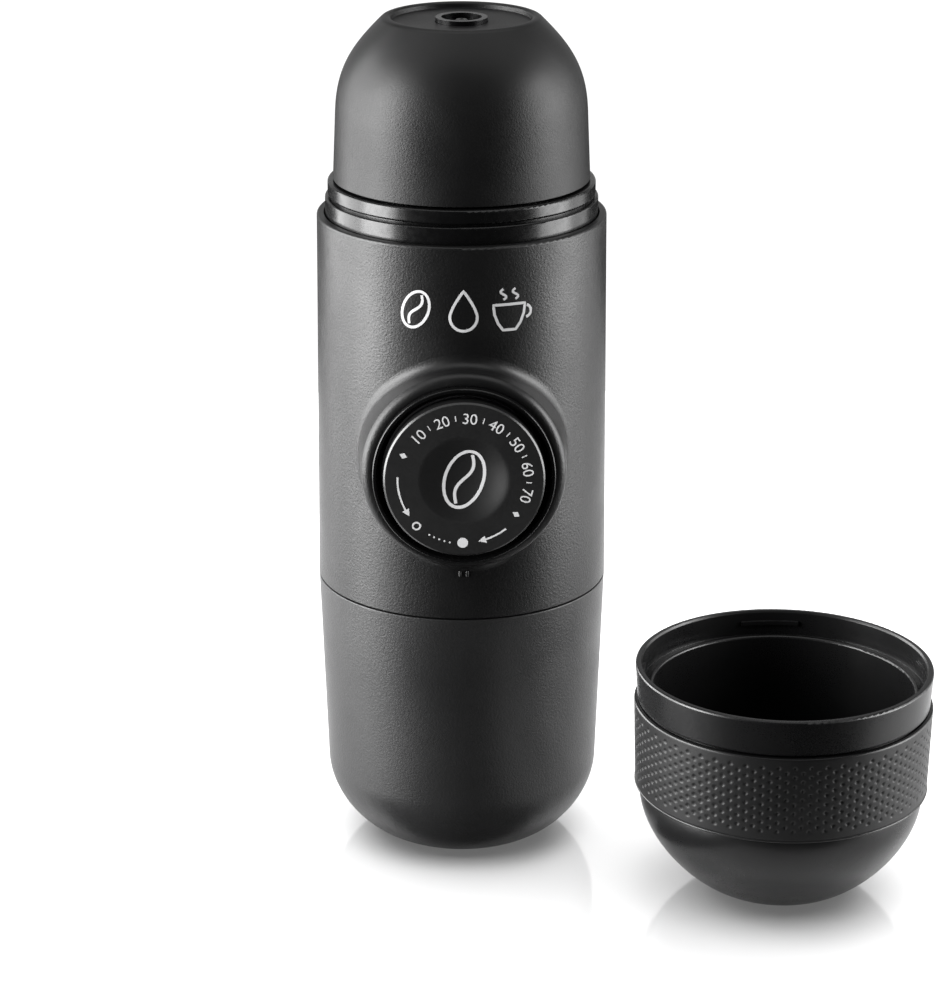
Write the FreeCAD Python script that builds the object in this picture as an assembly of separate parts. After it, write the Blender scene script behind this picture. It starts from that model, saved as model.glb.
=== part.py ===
import FreeCAD, Part
import math
import os
from FreeCAD import Vector

# Handheld manual espresso maker.  Millimetres, +Z up.
# The origin is on the floor under the middle of the tank's foot.
# The pump knob faces -Y.  The brewing end is on top and the cup stands beside the machine.
# Pieces that lie along the pump are built in a local frame with X to the right, Y up and Z forward,
# so that their "w" is the distance in front of the machine's own axis, and are then turned into place.

# ---------------------------------------------------------------- driving dimensions: casing
PARTING_R = 29.6          # outside radius at the line between tank and casing
PARTING_Z = 57.7          # height of that line
SEAM = 0.4                # open seam there
TANK_DRAFT_DEG = 2.03     # taper of the tank's side
TANK_CURVE_Z = 16.3       # height where that side starts to curve in to the foot
TANK_FOOT_IN = 15.8       # from the side there in to the edge of the flat foot
TANK_SIDE_PULL = 8.1      # lengths of the two handles of that curve
TANK_FOOT_PULL = 7.8
TANK_WALL = 2.6
MOUTH_WALL = 2.1          # wall of the tank round its threaded mouth
MOUTH_DEPTH = 11.0
SHELL_TAPER = 0.6         # how much smaller the casing's radius is at its top
SHELL_RIM_RISE = 14.1     # height of the casing's rim above the deck
SHELL_WALL = 1.4
RIM_ROUND = 0.5

# ---------------------------------------------------------------- driving dimensions: boss and knob
KNOB_RISE = 32.5          # height of the pump's axis above the parting line
KNOB_R = 15.7             # printed front disc
KNOB_PROUD = 2.0          # how far the knob's face stands out of the bezel
CAP_EDGE_W = 2.9          # thickness of the disc at its edge
DISH_R = 9.0              # dished middle of the disc
DISH_DEPTH = 0.9
CAP_SPIGOT_WALL = 1.6
CAP_OVERHANG = 0.2        # how far the disc stands over the sleeve
SLEEVE_WALL = 1.6
SLEEVE_REAR_GAP = 1.0     # between the sleeve's back end and the cross plate
SLEEVE_END = 2.2          # sleeve left behind its slots
WEB_SETBACK = 3.9         # from the disc back to the far face of the sleeve's web
WEB_THICK = 2.0
BOSS_PROUD = 4.7          # how far the boss's face stands out of the casing
BOSS_LAND = 2.15          # flat of the boss's face round the bezel
BOSS_DRAFT_DEG = 3.0
BOSS_BLEND_R = 2.5
BOSS_EDGE_R = 1.9
BEZEL_WALL = 0.6
BEZEL_PROUD = 2.0         # how far the bezel stands out of the boss's face
KNOB_GAP = 0.4            # open ring between knob and bezel
BEZEL_SKIRT = 5.3         # depth of the bezel from its face back over the guide
BEZEL_EDGE_R = 0.35
BEZEL_SLOPE = 1.6         # depth of the sloped wall from the bezel's edge down to its lip
BEZEL_LIP = 0.3           # thickness of the bezel in front of the guide's end
PIP_R = 0.3               # two upright index pips under the boss
PIP_LENGTH = 0.8
PIP_PITCH = 1.4
PIP_DROP = 22.8           # below the knob's axis

# ---------------------------------------------------------------- driving dimensions: lock and pump
COIL_STEPS = 20           # lengths in one turn of a spring
COIL_SIDES = 8
GUIDE_WALL = 1.65
GUIDE_FLANGE = 3.4        # width of the guide's flange
GUIDE_SCREW_ROOM = 3.8    # recess over the heads of its screws
GUIDE_FLANGE_THICK = 2.2
LOCK_TURN_DEG = 45.0
LUG_BACK = 7.4            # from the guide's face back to the far end of the two lock lugs
LUG_LENGTH = 3.0
LUG_WIDTH = 3.0
LUG_HEIGHT = 1.3
LUG_CLEAR = 0.3
BARREL_BORE_R = 6.0
BARREL_WALL = 1.6
REAR_ROOM = 12.1          # left behind the barrel for the valve block
BARREL_SPARE = 2.0        # barrel left in front of the piston at the end of its stroke
BARREL_FLANGE = 1.8       # width of the barrel's flange
BARREL_FLANGE_GAP = 2.5   # between that flange and the gland
BARREL_FLANGE_THICK = 2.0
GLAND_WALL = 1.55
GLAND_SKIRT = 3.5         # length of the gland over the barrel's front end
GLAND_NOSE = 3.0
ROD_R = 3.0
ROD_SPIGOT_R = 2.2
PISTON_GAP = 2.0          # dead space behind the piston when it is home
PISTON_LENGTH = 8.0
RING_WIRE_R = 0.85        # section radius of the O-rings
SPRING_R = 5.5            # return spring, mean radius
SPRING_WIRE_R = 0.5
SPRING_TURNS = 5.0
RUN_FIT = 0.05            # radial running clearance
BODY_GAP = 0.3            # clearance between pieces of different bodies

# ---------------------------------------------------------------- driving dimensions: valves
VALVE_SETBACK = 3.5       # column of the two ball valves behind the barrel's end
BLOCK_HALF = 5.5
BLOCK_WALL = 1.2          # wall behind the valve chambers
BLOCK_LOW_MARGIN = 4.0    # block below the inlet seat
BLOCK_TOP_MARGIN = 4.5    # block above the outlet's stop
VALVE_BORE_R = 2.4
PORT_R = 1.1
BALL_R = 1.75
INLET_DROP = 9.2          # inlet seat below the pump's axis
OUTLET_RISE = 1.8         # outlet seat above the pump's axis
VALVE_ROOM = 7.5          # from a seat to the stop of its spring
VALVE_SPRING_R = 1.6
VALVE_WIRE_R = 0.25
VALVE_TURNS = 3.0
PIPE_R = 2.0
PIPE_BORE_R = 1.2
VENT_INSET = 3.65         # vent tube that lets air to the far end of the tank, inside the neck
VENT_R = 2.4
VENT_BORE_R = 1.5
VENT_LOW_Z = 15.0
BILL_WALL = 0.7
BILL_TIP_Z = 10.5

# ---------------------------------------------------------------- driving dimensions: frame
NECK_GAP = 0.35           # between the frame's neck and the tank's mouth
NECK_WALL = 2.5
NECK_DEPTH = 9.5          # how far the neck goes down in the tank
FLOOR_THICK = 3.0
FLANGE_THICK = 2.5
DECK_ROOM = 9.2           # top of the frame above the guide's flange
DECK_GAP = 0.7            # between the deck's edge and the casing
CHEEK_IN = 13.5           # inner faces of the two side cheeks
CHEEK_THICK = 2.5
PLATE_THICK = 3.0         # cross plate that carries barrel and guide
PLATE_MARGIN = 0.4        # cross plate beside the guide's flange
SADDLE_WALL = 1.95        # wall of the frame round the barrel
WINDOW_H = 8.0            # windows cored through the cheeks and the cross plate
WINDOW_INSET = 3.0
WINDOW_LOW_MARGIN = 4.0
WINDOW_TOP_MARGIN = 2.0
DECK_HOLE_R = 10.0
SCREW_R = 0.95
SCREW_LENGTH = 8.0
SCREW_HEAD_R = 1.7
SCREW_HEAD_H = 1.2
GROUP_SCREW_DEG = (60, 120, 240, 300)

# ---------------------------------------------------------------- driving dimensions: group and basket
RIM_GAP = 0.3             # open line between the collar and the casing's rim
COLLAR_STEP_H = 17.5      # height of the lower band above the deck
COLLAR_GROOVE = 0.4
COLLAR_GROOVE_DEPTH = 1.1
COLLAR_SETBACK = 0.55     # step in from the lower to the upper glossy band
COLLAR_BAND_H = 2.9       # height of the upper band
COLLAR_WALL = 1.4
NECK_SETBACK = 4.35       # step in from the collar to the threaded neck, which the outlet head screws on
GROUP_NECK_WALL = 2.0
GROUP_NECK_H = 8.5        # height of the threaded neck above the collar
GROUP_FLOOR = 3.0
SHOWER_GAP = 0.5          # between the shower plate and the chamber's wall
SHOWER_FOOT = 0.9
PLATE_SHEET = 0.8         # thickness of the perforated plates
HOLE_R = 0.6
SHOWER_PITCH = 4.6
BASKET_PITCH = 3.6
SCREEN_PITCH = 3.4
BASKET_GAP = 0.4          # between the basket's rim and the chamber's wall
BASKET_RIM = 0.6          # width of the basket's rim
BASKET_WALL = 0.7
GASKET_H = 1.4
GASKET_LAP = 1.2          # how far the gasket reaches in under the basket

# ---------------------------------------------------------------- driving dimensions: outlet head
HEAD_GAP = 0.4            # open line between collar and dome
HEAD_SETBACK = 1.1        # step in from the collar to the dome
HEAD_SKIRT_H = 13.5       # straight part of the dome's side
HEAD_TAPER = 0.6          # how much smaller the dome's radius is at the top of that part
HEAD_DOME_H = 18.6        # from the end of the straight part up to the crest
CREST_SETBACK = 10.15     # from the shoulder in to the highest ring
CREST_ROUND = 1.5
SHOULDER_PULL = 8.4       # length of the two handles of the shoulder's curve
CREST_PULL = 8.0
RECESS_LIP = 1.1          # from the highest ring in to the recess
RECESS_DEPTH = 1.1
HEAD_WALL = 1.5
HEAD_RIM_WALL = 2.0
SKIRT_GAP = 0.3           # between the head's skirt and the threaded neck
SEAL_H = 1.3
SEAL_NIP = 0.2            # room between the seal and the threaded neck
SCREEN_LEDGE = 1.0        # ledge that the screen lies on
SCREEN_SETBACK = 4.4      # from the skirt's bore in to the screen
FUNNEL_DROP = 6.2         # top of the funnel below the recess
SPOUT_R = 5.15
SPOUT_BORE_R = 4.0
SPOUT_PROUD = 0.9
SPREADER_ARMS = 3
SPREADER_DROP = 0.5       # top of the spreader's hub below the spout's rim
SPREADER_H = 2.4
SPREADER_HUB_R = 1.3

# ---------------------------------------------------------------- driving dimensions: cup
CUP_X = 64.3
CUP_Y = -30.5
CUP_R = 29.8
CUP_H = 48.3
CUP_FOOT_R = 9.1
CUP_LIP_WALL = 1.35
CUP_WALL = 1.9
CUP_RIM_H = 7.3           # height of the plain band round the rim
CUP_RIM_TAPER = 0.45      # how much smaller the radius is at the foot of that band
CUP_LEDGE_DROP = 5.3      # inner ledge below the lip
CUP_SETBACK = 3.7         # from the rim's outside in to the bowl's wall
LEDGE_BEAD = 0.5
GRIP_H = 18.1             # from the rubber band's foot up to the rim band
GRIP_PROUD = 0.65         # how far the rubber band stands out of the rim band's foot
GRIP_TAPER = 0.5          # how much smaller the rubber band's radius is at its foot
GRIP_WALL = 1.9
BOWL_SETBACK = 1.0        # step in from the rubber band's foot to the bowl
BOWL_BULGE = 1.4          # handles of the bowl's curve: out of its top edge, and out of its foot
BOWL_PULL = 8.2
GRIP_GAP = 0.35           # shadow groove above the rubber band
GRIP_ROUND = 0.35
NUB_COUNT = 4
NUB_WIDTH = 12.0
NUB_HEIGHT = 0.9
NUB_PROUD = 0.45
NUB_DROP = 2.2            # below the lip

# ---------------------------------------------------------------- worked-out places
TANK_TOP_Z = PARTING_Z - SEAM / 2
SHELL_LOW_Z = PARTING_Z + SEAM / 2
KNOB_Z = PARTING_Z + KNOB_RISE
SHELL_RIM_R = PARTING_R - SHELL_TAPER
MOUTH_R = PARTING_R - MOUTH_WALL
TANK_LEAN = math.tan(math.radians(TANK_DRAFT_DEG))
TANK_SIDE_R = PARTING_R - (TANK_TOP_Z - TANK_CURVE_Z) * TANK_LEAN
TANK_FOOT_R = TANK_SIDE_R - TANK_FOOT_IN
NECK_R = MOUTH_R - NECK_GAP
DECK_R = SHELL_RIM_R - SHELL_WALL - DECK_GAP
SLEEVE_R = KNOB_R - CAP_OVERHANG
GUIDE_R = SLEEVE_R + RUN_FIT + GUIDE_WALL
GUIDE_FLANGE_R = GUIDE_R + GUIDE_FLANGE
GUIDE_SCREW_R = GUIDE_R + GUIDE_FLANGE / 2
BEZEL_R = GUIDE_R + RUN_FIT + BEZEL_WALL
BEZEL_LIP_R = KNOB_R + KNOB_GAP
BOSS_FACE_R = BEZEL_R + BOSS_LAND
PLATE_HALF = GUIDE_FLANGE_R + PLATE_MARGIN
DECK_Z = KNOB_Z + GUIDE_FLANGE_R + DECK_ROOM
SHELL_RIM_Z = DECK_Z + SHELL_RIM_RISE
SHELL_HEIGHT = SHELL_RIM_Z - SHELL_LOW_Z
NECK_LOW_Z = SHELL_LOW_Z - NECK_DEPTH
FLOOR_LOW_Z = SHELL_LOW_Z - FLOOR_THICK
BOSS_FACE_W = PARTING_R + BOSS_PROUD
BEZEL_FACE_W = BOSS_FACE_W + BEZEL_PROUD
BEZEL_REAR_W = BEZEL_FACE_W - BEZEL_SKIRT
GUIDE_FACE_W = BEZEL_FACE_W - BEZEL_SLOPE - BEZEL_LIP
KNOB_FACE_W = BEZEL_FACE_W + KNOB_PROUD
LUG_W = GUIDE_FACE_W - LUG_BACK
INLET_SEAT_Z = KNOB_Z - INLET_DROP
INLET_STOP_Z = INLET_SEAT_Z + VALVE_ROOM
OUTLET_SEAT_Z = KNOB_Z + OUTLET_RISE
OUTLET_STOP_Z = OUTLET_SEAT_Z + VALVE_ROOM
BLOCK_LOW_Z = INLET_SEAT_Z - BLOCK_LOW_MARGIN
BLOCK_TOP_Z = OUTLET_STOP_Z + BLOCK_TOP_MARGIN
CHEEK_REAR_Y = PARTING_R - REAR_ROOM
BARREL_REAR_W = -CHEEK_REAR_Y
BARREL_FRONT_ROOM = PISTON_GAP + PISTON_LENGTH + BARREL_SPARE
PLATE_SETBACK = GLAND_SKIRT + BARREL_FLANGE_THICK + BARREL_FLANGE_GAP
SLEEVE_SPARE = LUG_CLEAR + SLEEVE_END + SLEEVE_REAR_GAP
STROKE = (LUG_W - SLEEVE_SPARE - BARREL_REAR_W - BARREL_FRONT_ROOM + PLATE_SETBACK) / 2
BARREL_FRONT_W = BARREL_REAR_W + BARREL_FRONT_ROOM + STROKE
PLATE_FRONT_W = BARREL_FRONT_W - PLATE_SETBACK
PLATE_W = PLATE_FRONT_W - PLATE_THICK
SLEEVE_REAR_W = PLATE_FRONT_W + SLEEVE_REAR_GAP
VENT_Y = NECK_WALL + VENT_INSET - NECK_R
VALVE_Y = CHEEK_REAR_Y + VALVE_SETBACK
BLOCK_DEPTH = VALVE_SETBACK + VALVE_BORE_R + BLOCK_WALL
EAR_SCREW_X = CHEEK_IN + CHEEK_THICK / 2
BARREL_R = BARREL_BORE_R + BARREL_WALL
BARREL_FLANGE_R = BARREL_R + BARREL_FLANGE
SADDLE_R = BARREL_R + RUN_FIT + SADDLE_WALL
PISTON_REAR_W = BARREL_REAR_W + PISTON_GAP
PISTON_FRONT_W = PISTON_REAR_W + PISTON_LENGTH
GLAND_R = BARREL_R + RUN_FIT + GLAND_WALL
GLAND_REAR_W = BARREL_FRONT_W - GLAND_SKIRT
GLAND_FRONT_W = BARREL_FRONT_W + GLAND_NOSE
CAP_REAR_W = KNOB_FACE_W - CAP_EDGE_W
WEB_W = CAP_REAR_W - WEB_SETBACK
WEB_FRONT_W = WEB_W + WEB_THICK
GROUP_FLOOR_Z = DECK_Z + GROUP_FLOOR
SHOWER_TOP_Z = GROUP_FLOOR_Z + SHOWER_FOOT + PLATE_SHEET
BASKET_LOW_Z = SHOWER_TOP_Z + GASKET_H
COLLAR_R = SHELL_RIM_R - SHELL_WALL - RIM_GAP
COLLAR_GROOVE_R = COLLAR_R - COLLAR_GROOVE_DEPTH
COLLAR_TOP_R = COLLAR_R - COLLAR_SETBACK
GROUP_NECK_R = COLLAR_TOP_R - NECK_SETBACK
CHAMBER_R = GROUP_NECK_R - GROUP_NECK_WALL
SHOWER_R = CHAMBER_R - SHOWER_GAP
BASKET_RIM_R = CHAMBER_R - BASKET_GAP
BASKET_R = BASKET_RIM_R - BASKET_RIM
GASKET_IN_R = BASKET_R - GASKET_LAP
GROUP_SCREW_R = COLLAR_R - 2 * COLLAR_WALL - SCREW_R / 2
COLLAR_STEP_Z = DECK_Z + COLLAR_STEP_H
COLLAR_TOP_Z = COLLAR_STEP_Z + COLLAR_GROOVE + COLLAR_BAND_H
GROUP_NECK_Z = COLLAR_TOP_Z + GROUP_NECK_H
LAND_Z = GROUP_NECK_Z + SEAL_NIP + SEAL_H
HEAD_BASE_R = COLLAR_TOP_R - HEAD_SETBACK
HEAD_SHOULDER_R = HEAD_BASE_R - HEAD_TAPER
CREST_R = HEAD_SHOULDER_R - CREST_SETBACK
RECESS_R = CREST_R - RECESS_LIP
SKIRT_R = GROUP_NECK_R + SKIRT_GAP
HEAD_BORE_R = HEAD_BASE_R - HEAD_RIM_WALL
SCREEN_R = SKIRT_R - SCREEN_SETBACK
FUNNEL_R = SCREEN_R - SCREEN_LEDGE
HEAD_BASE_Z = COLLAR_TOP_Z + HEAD_GAP
HEAD_SHOULDER_Z = HEAD_BASE_Z + HEAD_SKIRT_H
HEAD_TOP_Z = HEAD_SHOULDER_Z + HEAD_DOME_H
RECESS_Z = HEAD_TOP_Z - RECESS_DEPTH
FUNNEL_TOP_Z = RECESS_Z - FUNNEL_DROP
CUP_RIM_LOW_Z = CUP_H - CUP_RIM_H
CUP_LEDGE_Z = CUP_H - CUP_LEDGE_DROP
GRIP_LOW_Z = CUP_RIM_LOW_Z - GRIP_H
CUP_BAND_FOOT_R = CUP_R - CUP_RIM_TAPER
GRIP_R = CUP_BAND_FOOT_R + GRIP_PROUD
GRIP_LOW_R = GRIP_R - GRIP_TAPER
BOWL_R = GRIP_LOW_R - BOWL_SETBACK
CUP_INNER_R = CUP_R - CUP_SETBACK
CUP_BAND_R = GRIP_R - GRIP_WALL


# ---------------------------------------------------------------- helpers
def disc(radius, z0, z1, x=0.0, y=0.0):
    """A round bar along Z."""
    return Part.makeCylinder(radius, z1 - z0, Vector(x, y, z0))


def ring(outer, inner, z0, z1, x=0.0, y=0.0):
    """A plain tube along Z."""
    return disc(outer, z0, z1, x, y).cut(disc(inner, z0 - 1, z1 + 1, x, y))


def block(x0, x1, y0, y1, z0, z1):
    """A box between two corners."""
    return Part.makeBox(x1 - x0, y1 - y0, z1 - z0, Vector(x0, y0, z0))


def profile(corners):
    """A closed outline of straight edges through (radius, height) corners."""
    points = [Vector(r, 0, z) for r, z in corners]
    return Part.makePolygon(points + points[:1])


def turned(wire):
    """The solid that a closed outline sweeps round the Z axis."""
    solid = Part.Face(wire).revolve(Vector(0, 0, 0), Vector(0, 0, 1), 360)
    return solid if solid.Volume > 0 else solid.reversed()


def line(a, b):
    return Part.LineSegment(Vector(a[0], 0, a[1]), Vector(b[0], 0, b[1])).toShape()


def curve(a, b, c, d):
    """A smooth curve from a to d, pulled towards b and c."""
    bezier = Part.BezierCurve()
    bezier.setPoles([Vector(p[0], 0, p[1]) for p in (a, b, c, d)])
    return bezier.toShape()


def arc(a, b, c):
    return Part.Arc(*[Vector(p[0], 0, p[1]) for p in (a, b, c)]).toShape()


def facing_front(shape):
    """Turn a piece from its own frame (Z forward) to the pump's axis on the machine."""
    turned_piece = shape.copy()
    turned_piece.rotate(Vector(0, 0, 0), Vector(1, 0, 0), 90)
    turned_piece.translate(Vector(0, 0, KNOB_Z))
    return turned_piece


def round_edges(shape, radius, test):
    """Fillet the circular edges that a test on (radius, height) picks."""
    picked = []
    for edge in shape.Edges:
        circle = edge.Curve
        if isinstance(circle, Part.Circle) and test(circle.Radius, circle.Center.z):
            picked.append(edge)
    return shape.makeFillet(radius, picked)


def at_circle(radius, height, slack=0.01):
    return lambda r, z: abs(r - radius) < slack and abs(z - height) < slack


def fused(pieces):
    whole = pieces[0]
    for piece in pieces[1:]:
        whole = whole.fuse(piece)
    return whole.removeSplitter()


def hole_pattern(pitch, reach, keep_clear=0.0):
    """Places of a hexagonal pattern of holes inside a radius."""
    places = []
    rows = int(reach / pitch) + 1
    for row in range(-rows, rows + 1):
        for column in range(-rows, rows + 1):
            x = pitch * (column + 0.5 * row)
            y = pitch * row * math.sqrt(3) / 2
            if keep_clear <= math.hypot(x, y) <= reach:
                places.append((x, y))
    return places


def perforated(plate, places, z0, z1):
    for x, y in places:
        plate = plate.cut(disc(HOLE_R, z0, z1, x, y))
    return plate


def coil(radius, wire_radius, turns, z0, z1, y=0.0):
    """A helical spring along Z between two heights, as a chain of short flat-sided lengths."""
    rise = z1 - z0 - 2 * wire_radius
    steps = int(turns * COIL_STEPS)
    sections = []
    for k in range(steps + 1):
        angle = 2 * math.pi * turns * k / steps
        out = Vector(math.cos(angle), math.sin(angle), 0)
        middle = out * radius + Vector(0, y, z0 + wire_radius + rise * k / steps)
        corners = []
        for side in range(COIL_SIDES):
            lean = 2 * math.pi * side / COIL_SIDES
            up = Vector(0, 0, wire_radius * math.sin(lean))
            corners.append(middle + out * wire_radius * math.cos(lean) + up)
        sections.append(Part.makePolygon(corners + corners[:1]))
    return Part.makeLoft(sections, True, True)


def shell_radius(z):
    """Outside radius of the casing at a height."""
    return PARTING_R + (SHELL_RIM_R - PARTING_R) * (z - SHELL_LOW_Z) / SHELL_HEIGHT


def screw(x, y, z):
    """A self-tapping screw with its head below z and its shank above."""
    head = disc(SCREW_HEAD_R, z - SCREW_HEAD_H, z, x, y)
    slot = block(x - 0.3, x + 0.3, y - SCREW_HEAD_R, y + SCREW_HEAD_R,
                 z - SCREW_HEAD_H, z - SCREW_HEAD_H / 2)
    return head.cut(slot).fuse(disc(SCREW_R, z, z + SCREW_LENGTH, x, y)).removeSplitter()


# ---------------------------------------------------------------- tank
def water_tank():
    """Tapered cup with a broad curve at its foot, and a wider threaded mouth."""
    ledge_z = TANK_TOP_Z - MOUTH_DEPTH
    ledge_r = PARTING_R - TANK_WALL - MOUTH_DEPTH * TANK_LEAN
    inner_r = TANK_SIDE_R - TANK_WALL
    thinner = 1 - TANK_WALL / TANK_CURVE_Z
    side_pull = TANK_SIDE_PULL * thinner
    outline = [
        line((0, 0), (TANK_FOOT_R, 0)),
        curve((TANK_FOOT_R, 0), (TANK_FOOT_R + TANK_FOOT_PULL, 0),
              (TANK_SIDE_R - TANK_SIDE_PULL * TANK_LEAN, TANK_CURVE_Z - TANK_SIDE_PULL),
              (TANK_SIDE_R, TANK_CURVE_Z)),
        line((TANK_SIDE_R, TANK_CURVE_Z), (PARTING_R, TANK_TOP_Z)),
        line((PARTING_R, TANK_TOP_Z), (MOUTH_R, TANK_TOP_Z)),
        line((MOUTH_R, TANK_TOP_Z), (MOUTH_R, ledge_z)),
        line((MOUTH_R, ledge_z), (ledge_r, ledge_z)),
        line((ledge_r, ledge_z), (inner_r, TANK_CURVE_Z)),
        curve((inner_r, TANK_CURVE_Z), (inner_r - side_pull * TANK_LEAN, TANK_CURVE_Z - side_pull),
              (TANK_FOOT_R + TANK_FOOT_PULL * thinner, TANK_WALL), (TANK_FOOT_R, TANK_WALL)),
        line((TANK_FOOT_R, TANK_WALL), (0, TANK_WALL)),
        line((0, TANK_WALL), (0, 0))]
    return round_edges(turned(Part.Wire(outline)), SEAM / 2, at_circle(PARTING_R, TANK_TOP_Z))


def tank_gasket():
    """Flat ring on the ledge at the bottom of the tank's mouth, under the frame's neck."""
    low = TANK_TOP_Z - MOUTH_DEPTH
    return ring(MOUTH_R - BODY_GAP, NECK_R - NECK_WALL + 1.0, low, NECK_LOW_Z - BODY_GAP)


# ---------------------------------------------------------------- casing
def boss_cone(inset, front_w):
    """The drafted boss round the pump's axis, shrunk by an inset."""
    slope = math.tan(math.radians(BOSS_DRAFT_DEG))
    rear_w = SLEEVE_REAR_W + 4.0
    rear_r = BOSS_FACE_R + slope * (BOSS_FACE_W - rear_w) - inset
    front_r = BOSS_FACE_R + slope * (BOSS_FACE_W - front_w) - inset
    return Part.makeCone(rear_r, front_r, front_w - rear_w, Vector(0, 0, rear_w))


def seam_edges(casing):
    """The edges where the boss leaves the tube: they bend in all three directions."""
    return [edge for edge in casing.Edges
            if min(edge.BoundBox.XLength, edge.BoundBox.YLength, edge.BoundBox.ZLength) > 1]


def main_shell():
    """Tubular casing with a boss that flows out of it round the knob."""
    tube = Part.makeCone(PARTING_R, SHELL_RIM_R, SHELL_HEIGHT, Vector(0, 0, SHELL_LOW_Z))
    casing = tube.fuse(facing_front(boss_cone(0.0, BOSS_FACE_W))).removeSplitter()
    casing = casing.makeFillet(BOSS_BLEND_R, seam_edges(casing))
    casing = round_front(casing)
    inside = Part.makeCone(PARTING_R - SHELL_WALL, SHELL_RIM_R - SHELL_WALL, SHELL_HEIGHT + 0.002,
                           Vector(0, 0, SHELL_LOW_Z - 0.001))
    casing = casing.cut(inside)
    casing = casing.cut(facing_front(boss_cone(SHELL_WALL, BOSS_FACE_W - SHELL_WALL)))
    casing = casing.cut(facing_front(disc(BEZEL_R + RUN_FIT, SLEEVE_REAR_W + 4, BOSS_FACE_W + 1)))
    casing = round_edges(casing, RIM_ROUND, at_circle(SHELL_RIM_R, SHELL_RIM_Z))
    pips = []
    pip_z = KNOB_Z - PIP_DROP
    for side in (-0.5, 0.5):
        x = side * PIP_PITCH
        y = 0.05 - math.sqrt(shell_radius(pip_z) ** 2 - x * x)
        low = pip_z - PIP_LENGTH / 2
        pips.append(disc(PIP_R, low, low + PIP_LENGTH, x, y))
        pips.append(Part.makeSphere(PIP_R, Vector(x, y, low)))
        pips.append(Part.makeSphere(PIP_R, Vector(x, y, low + PIP_LENGTH)))
    return fused([casing] + pips)


def round_front(casing):
    """Round the outer edge of the boss's front face."""
    front = []
    for edge in casing.Edges:
        box = edge.BoundBox
        if abs(box.YMin + BOSS_FACE_W) < 0.01 and abs(box.YMax + BOSS_FACE_W) < 0.01:
            front.append(edge)
    return casing.makeFillet(BOSS_EDGE_R, front)


def bezel_ring():
    """Glossy ring pushed over the guide's end, with a wall that slopes in to the knob."""
    slope_top_r = BEZEL_R - 2 * BEZEL_EDGE_R
    lip_w = BEZEL_FACE_W - BEZEL_SLOPE
    bezel = turned(profile([
        (BEZEL_R, BEZEL_REAR_W), (BEZEL_R, BEZEL_FACE_W), (slope_top_r, BEZEL_FACE_W),
        (BEZEL_LIP_R, lip_w), (BEZEL_LIP_R, GUIDE_FACE_W + RUN_FIT),
        (GUIDE_R + RUN_FIT, GUIDE_FACE_W + RUN_FIT), (GUIDE_R + RUN_FIT, BEZEL_REAR_W)]))
    bezel = round_edges(bezel, BEZEL_EDGE_R * 0.9, at_circle(BEZEL_R, BEZEL_FACE_W))
    return facing_front(bezel)


# ---------------------------------------------------------------- frame
def screw_places_on_guide():
    return [(GUIDE_SCREW_R * math.cos(math.radians(a)), GUIDE_SCREW_R * math.sin(math.radians(a)))
            for a in (45, 135, 225, 315)]


def screw_places_on_group():
    return [(GROUP_SCREW_R * math.cos(math.radians(a)), GROUP_SCREW_R * math.sin(math.radians(a)))
            for a in GROUP_SCREW_DEG]


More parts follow.
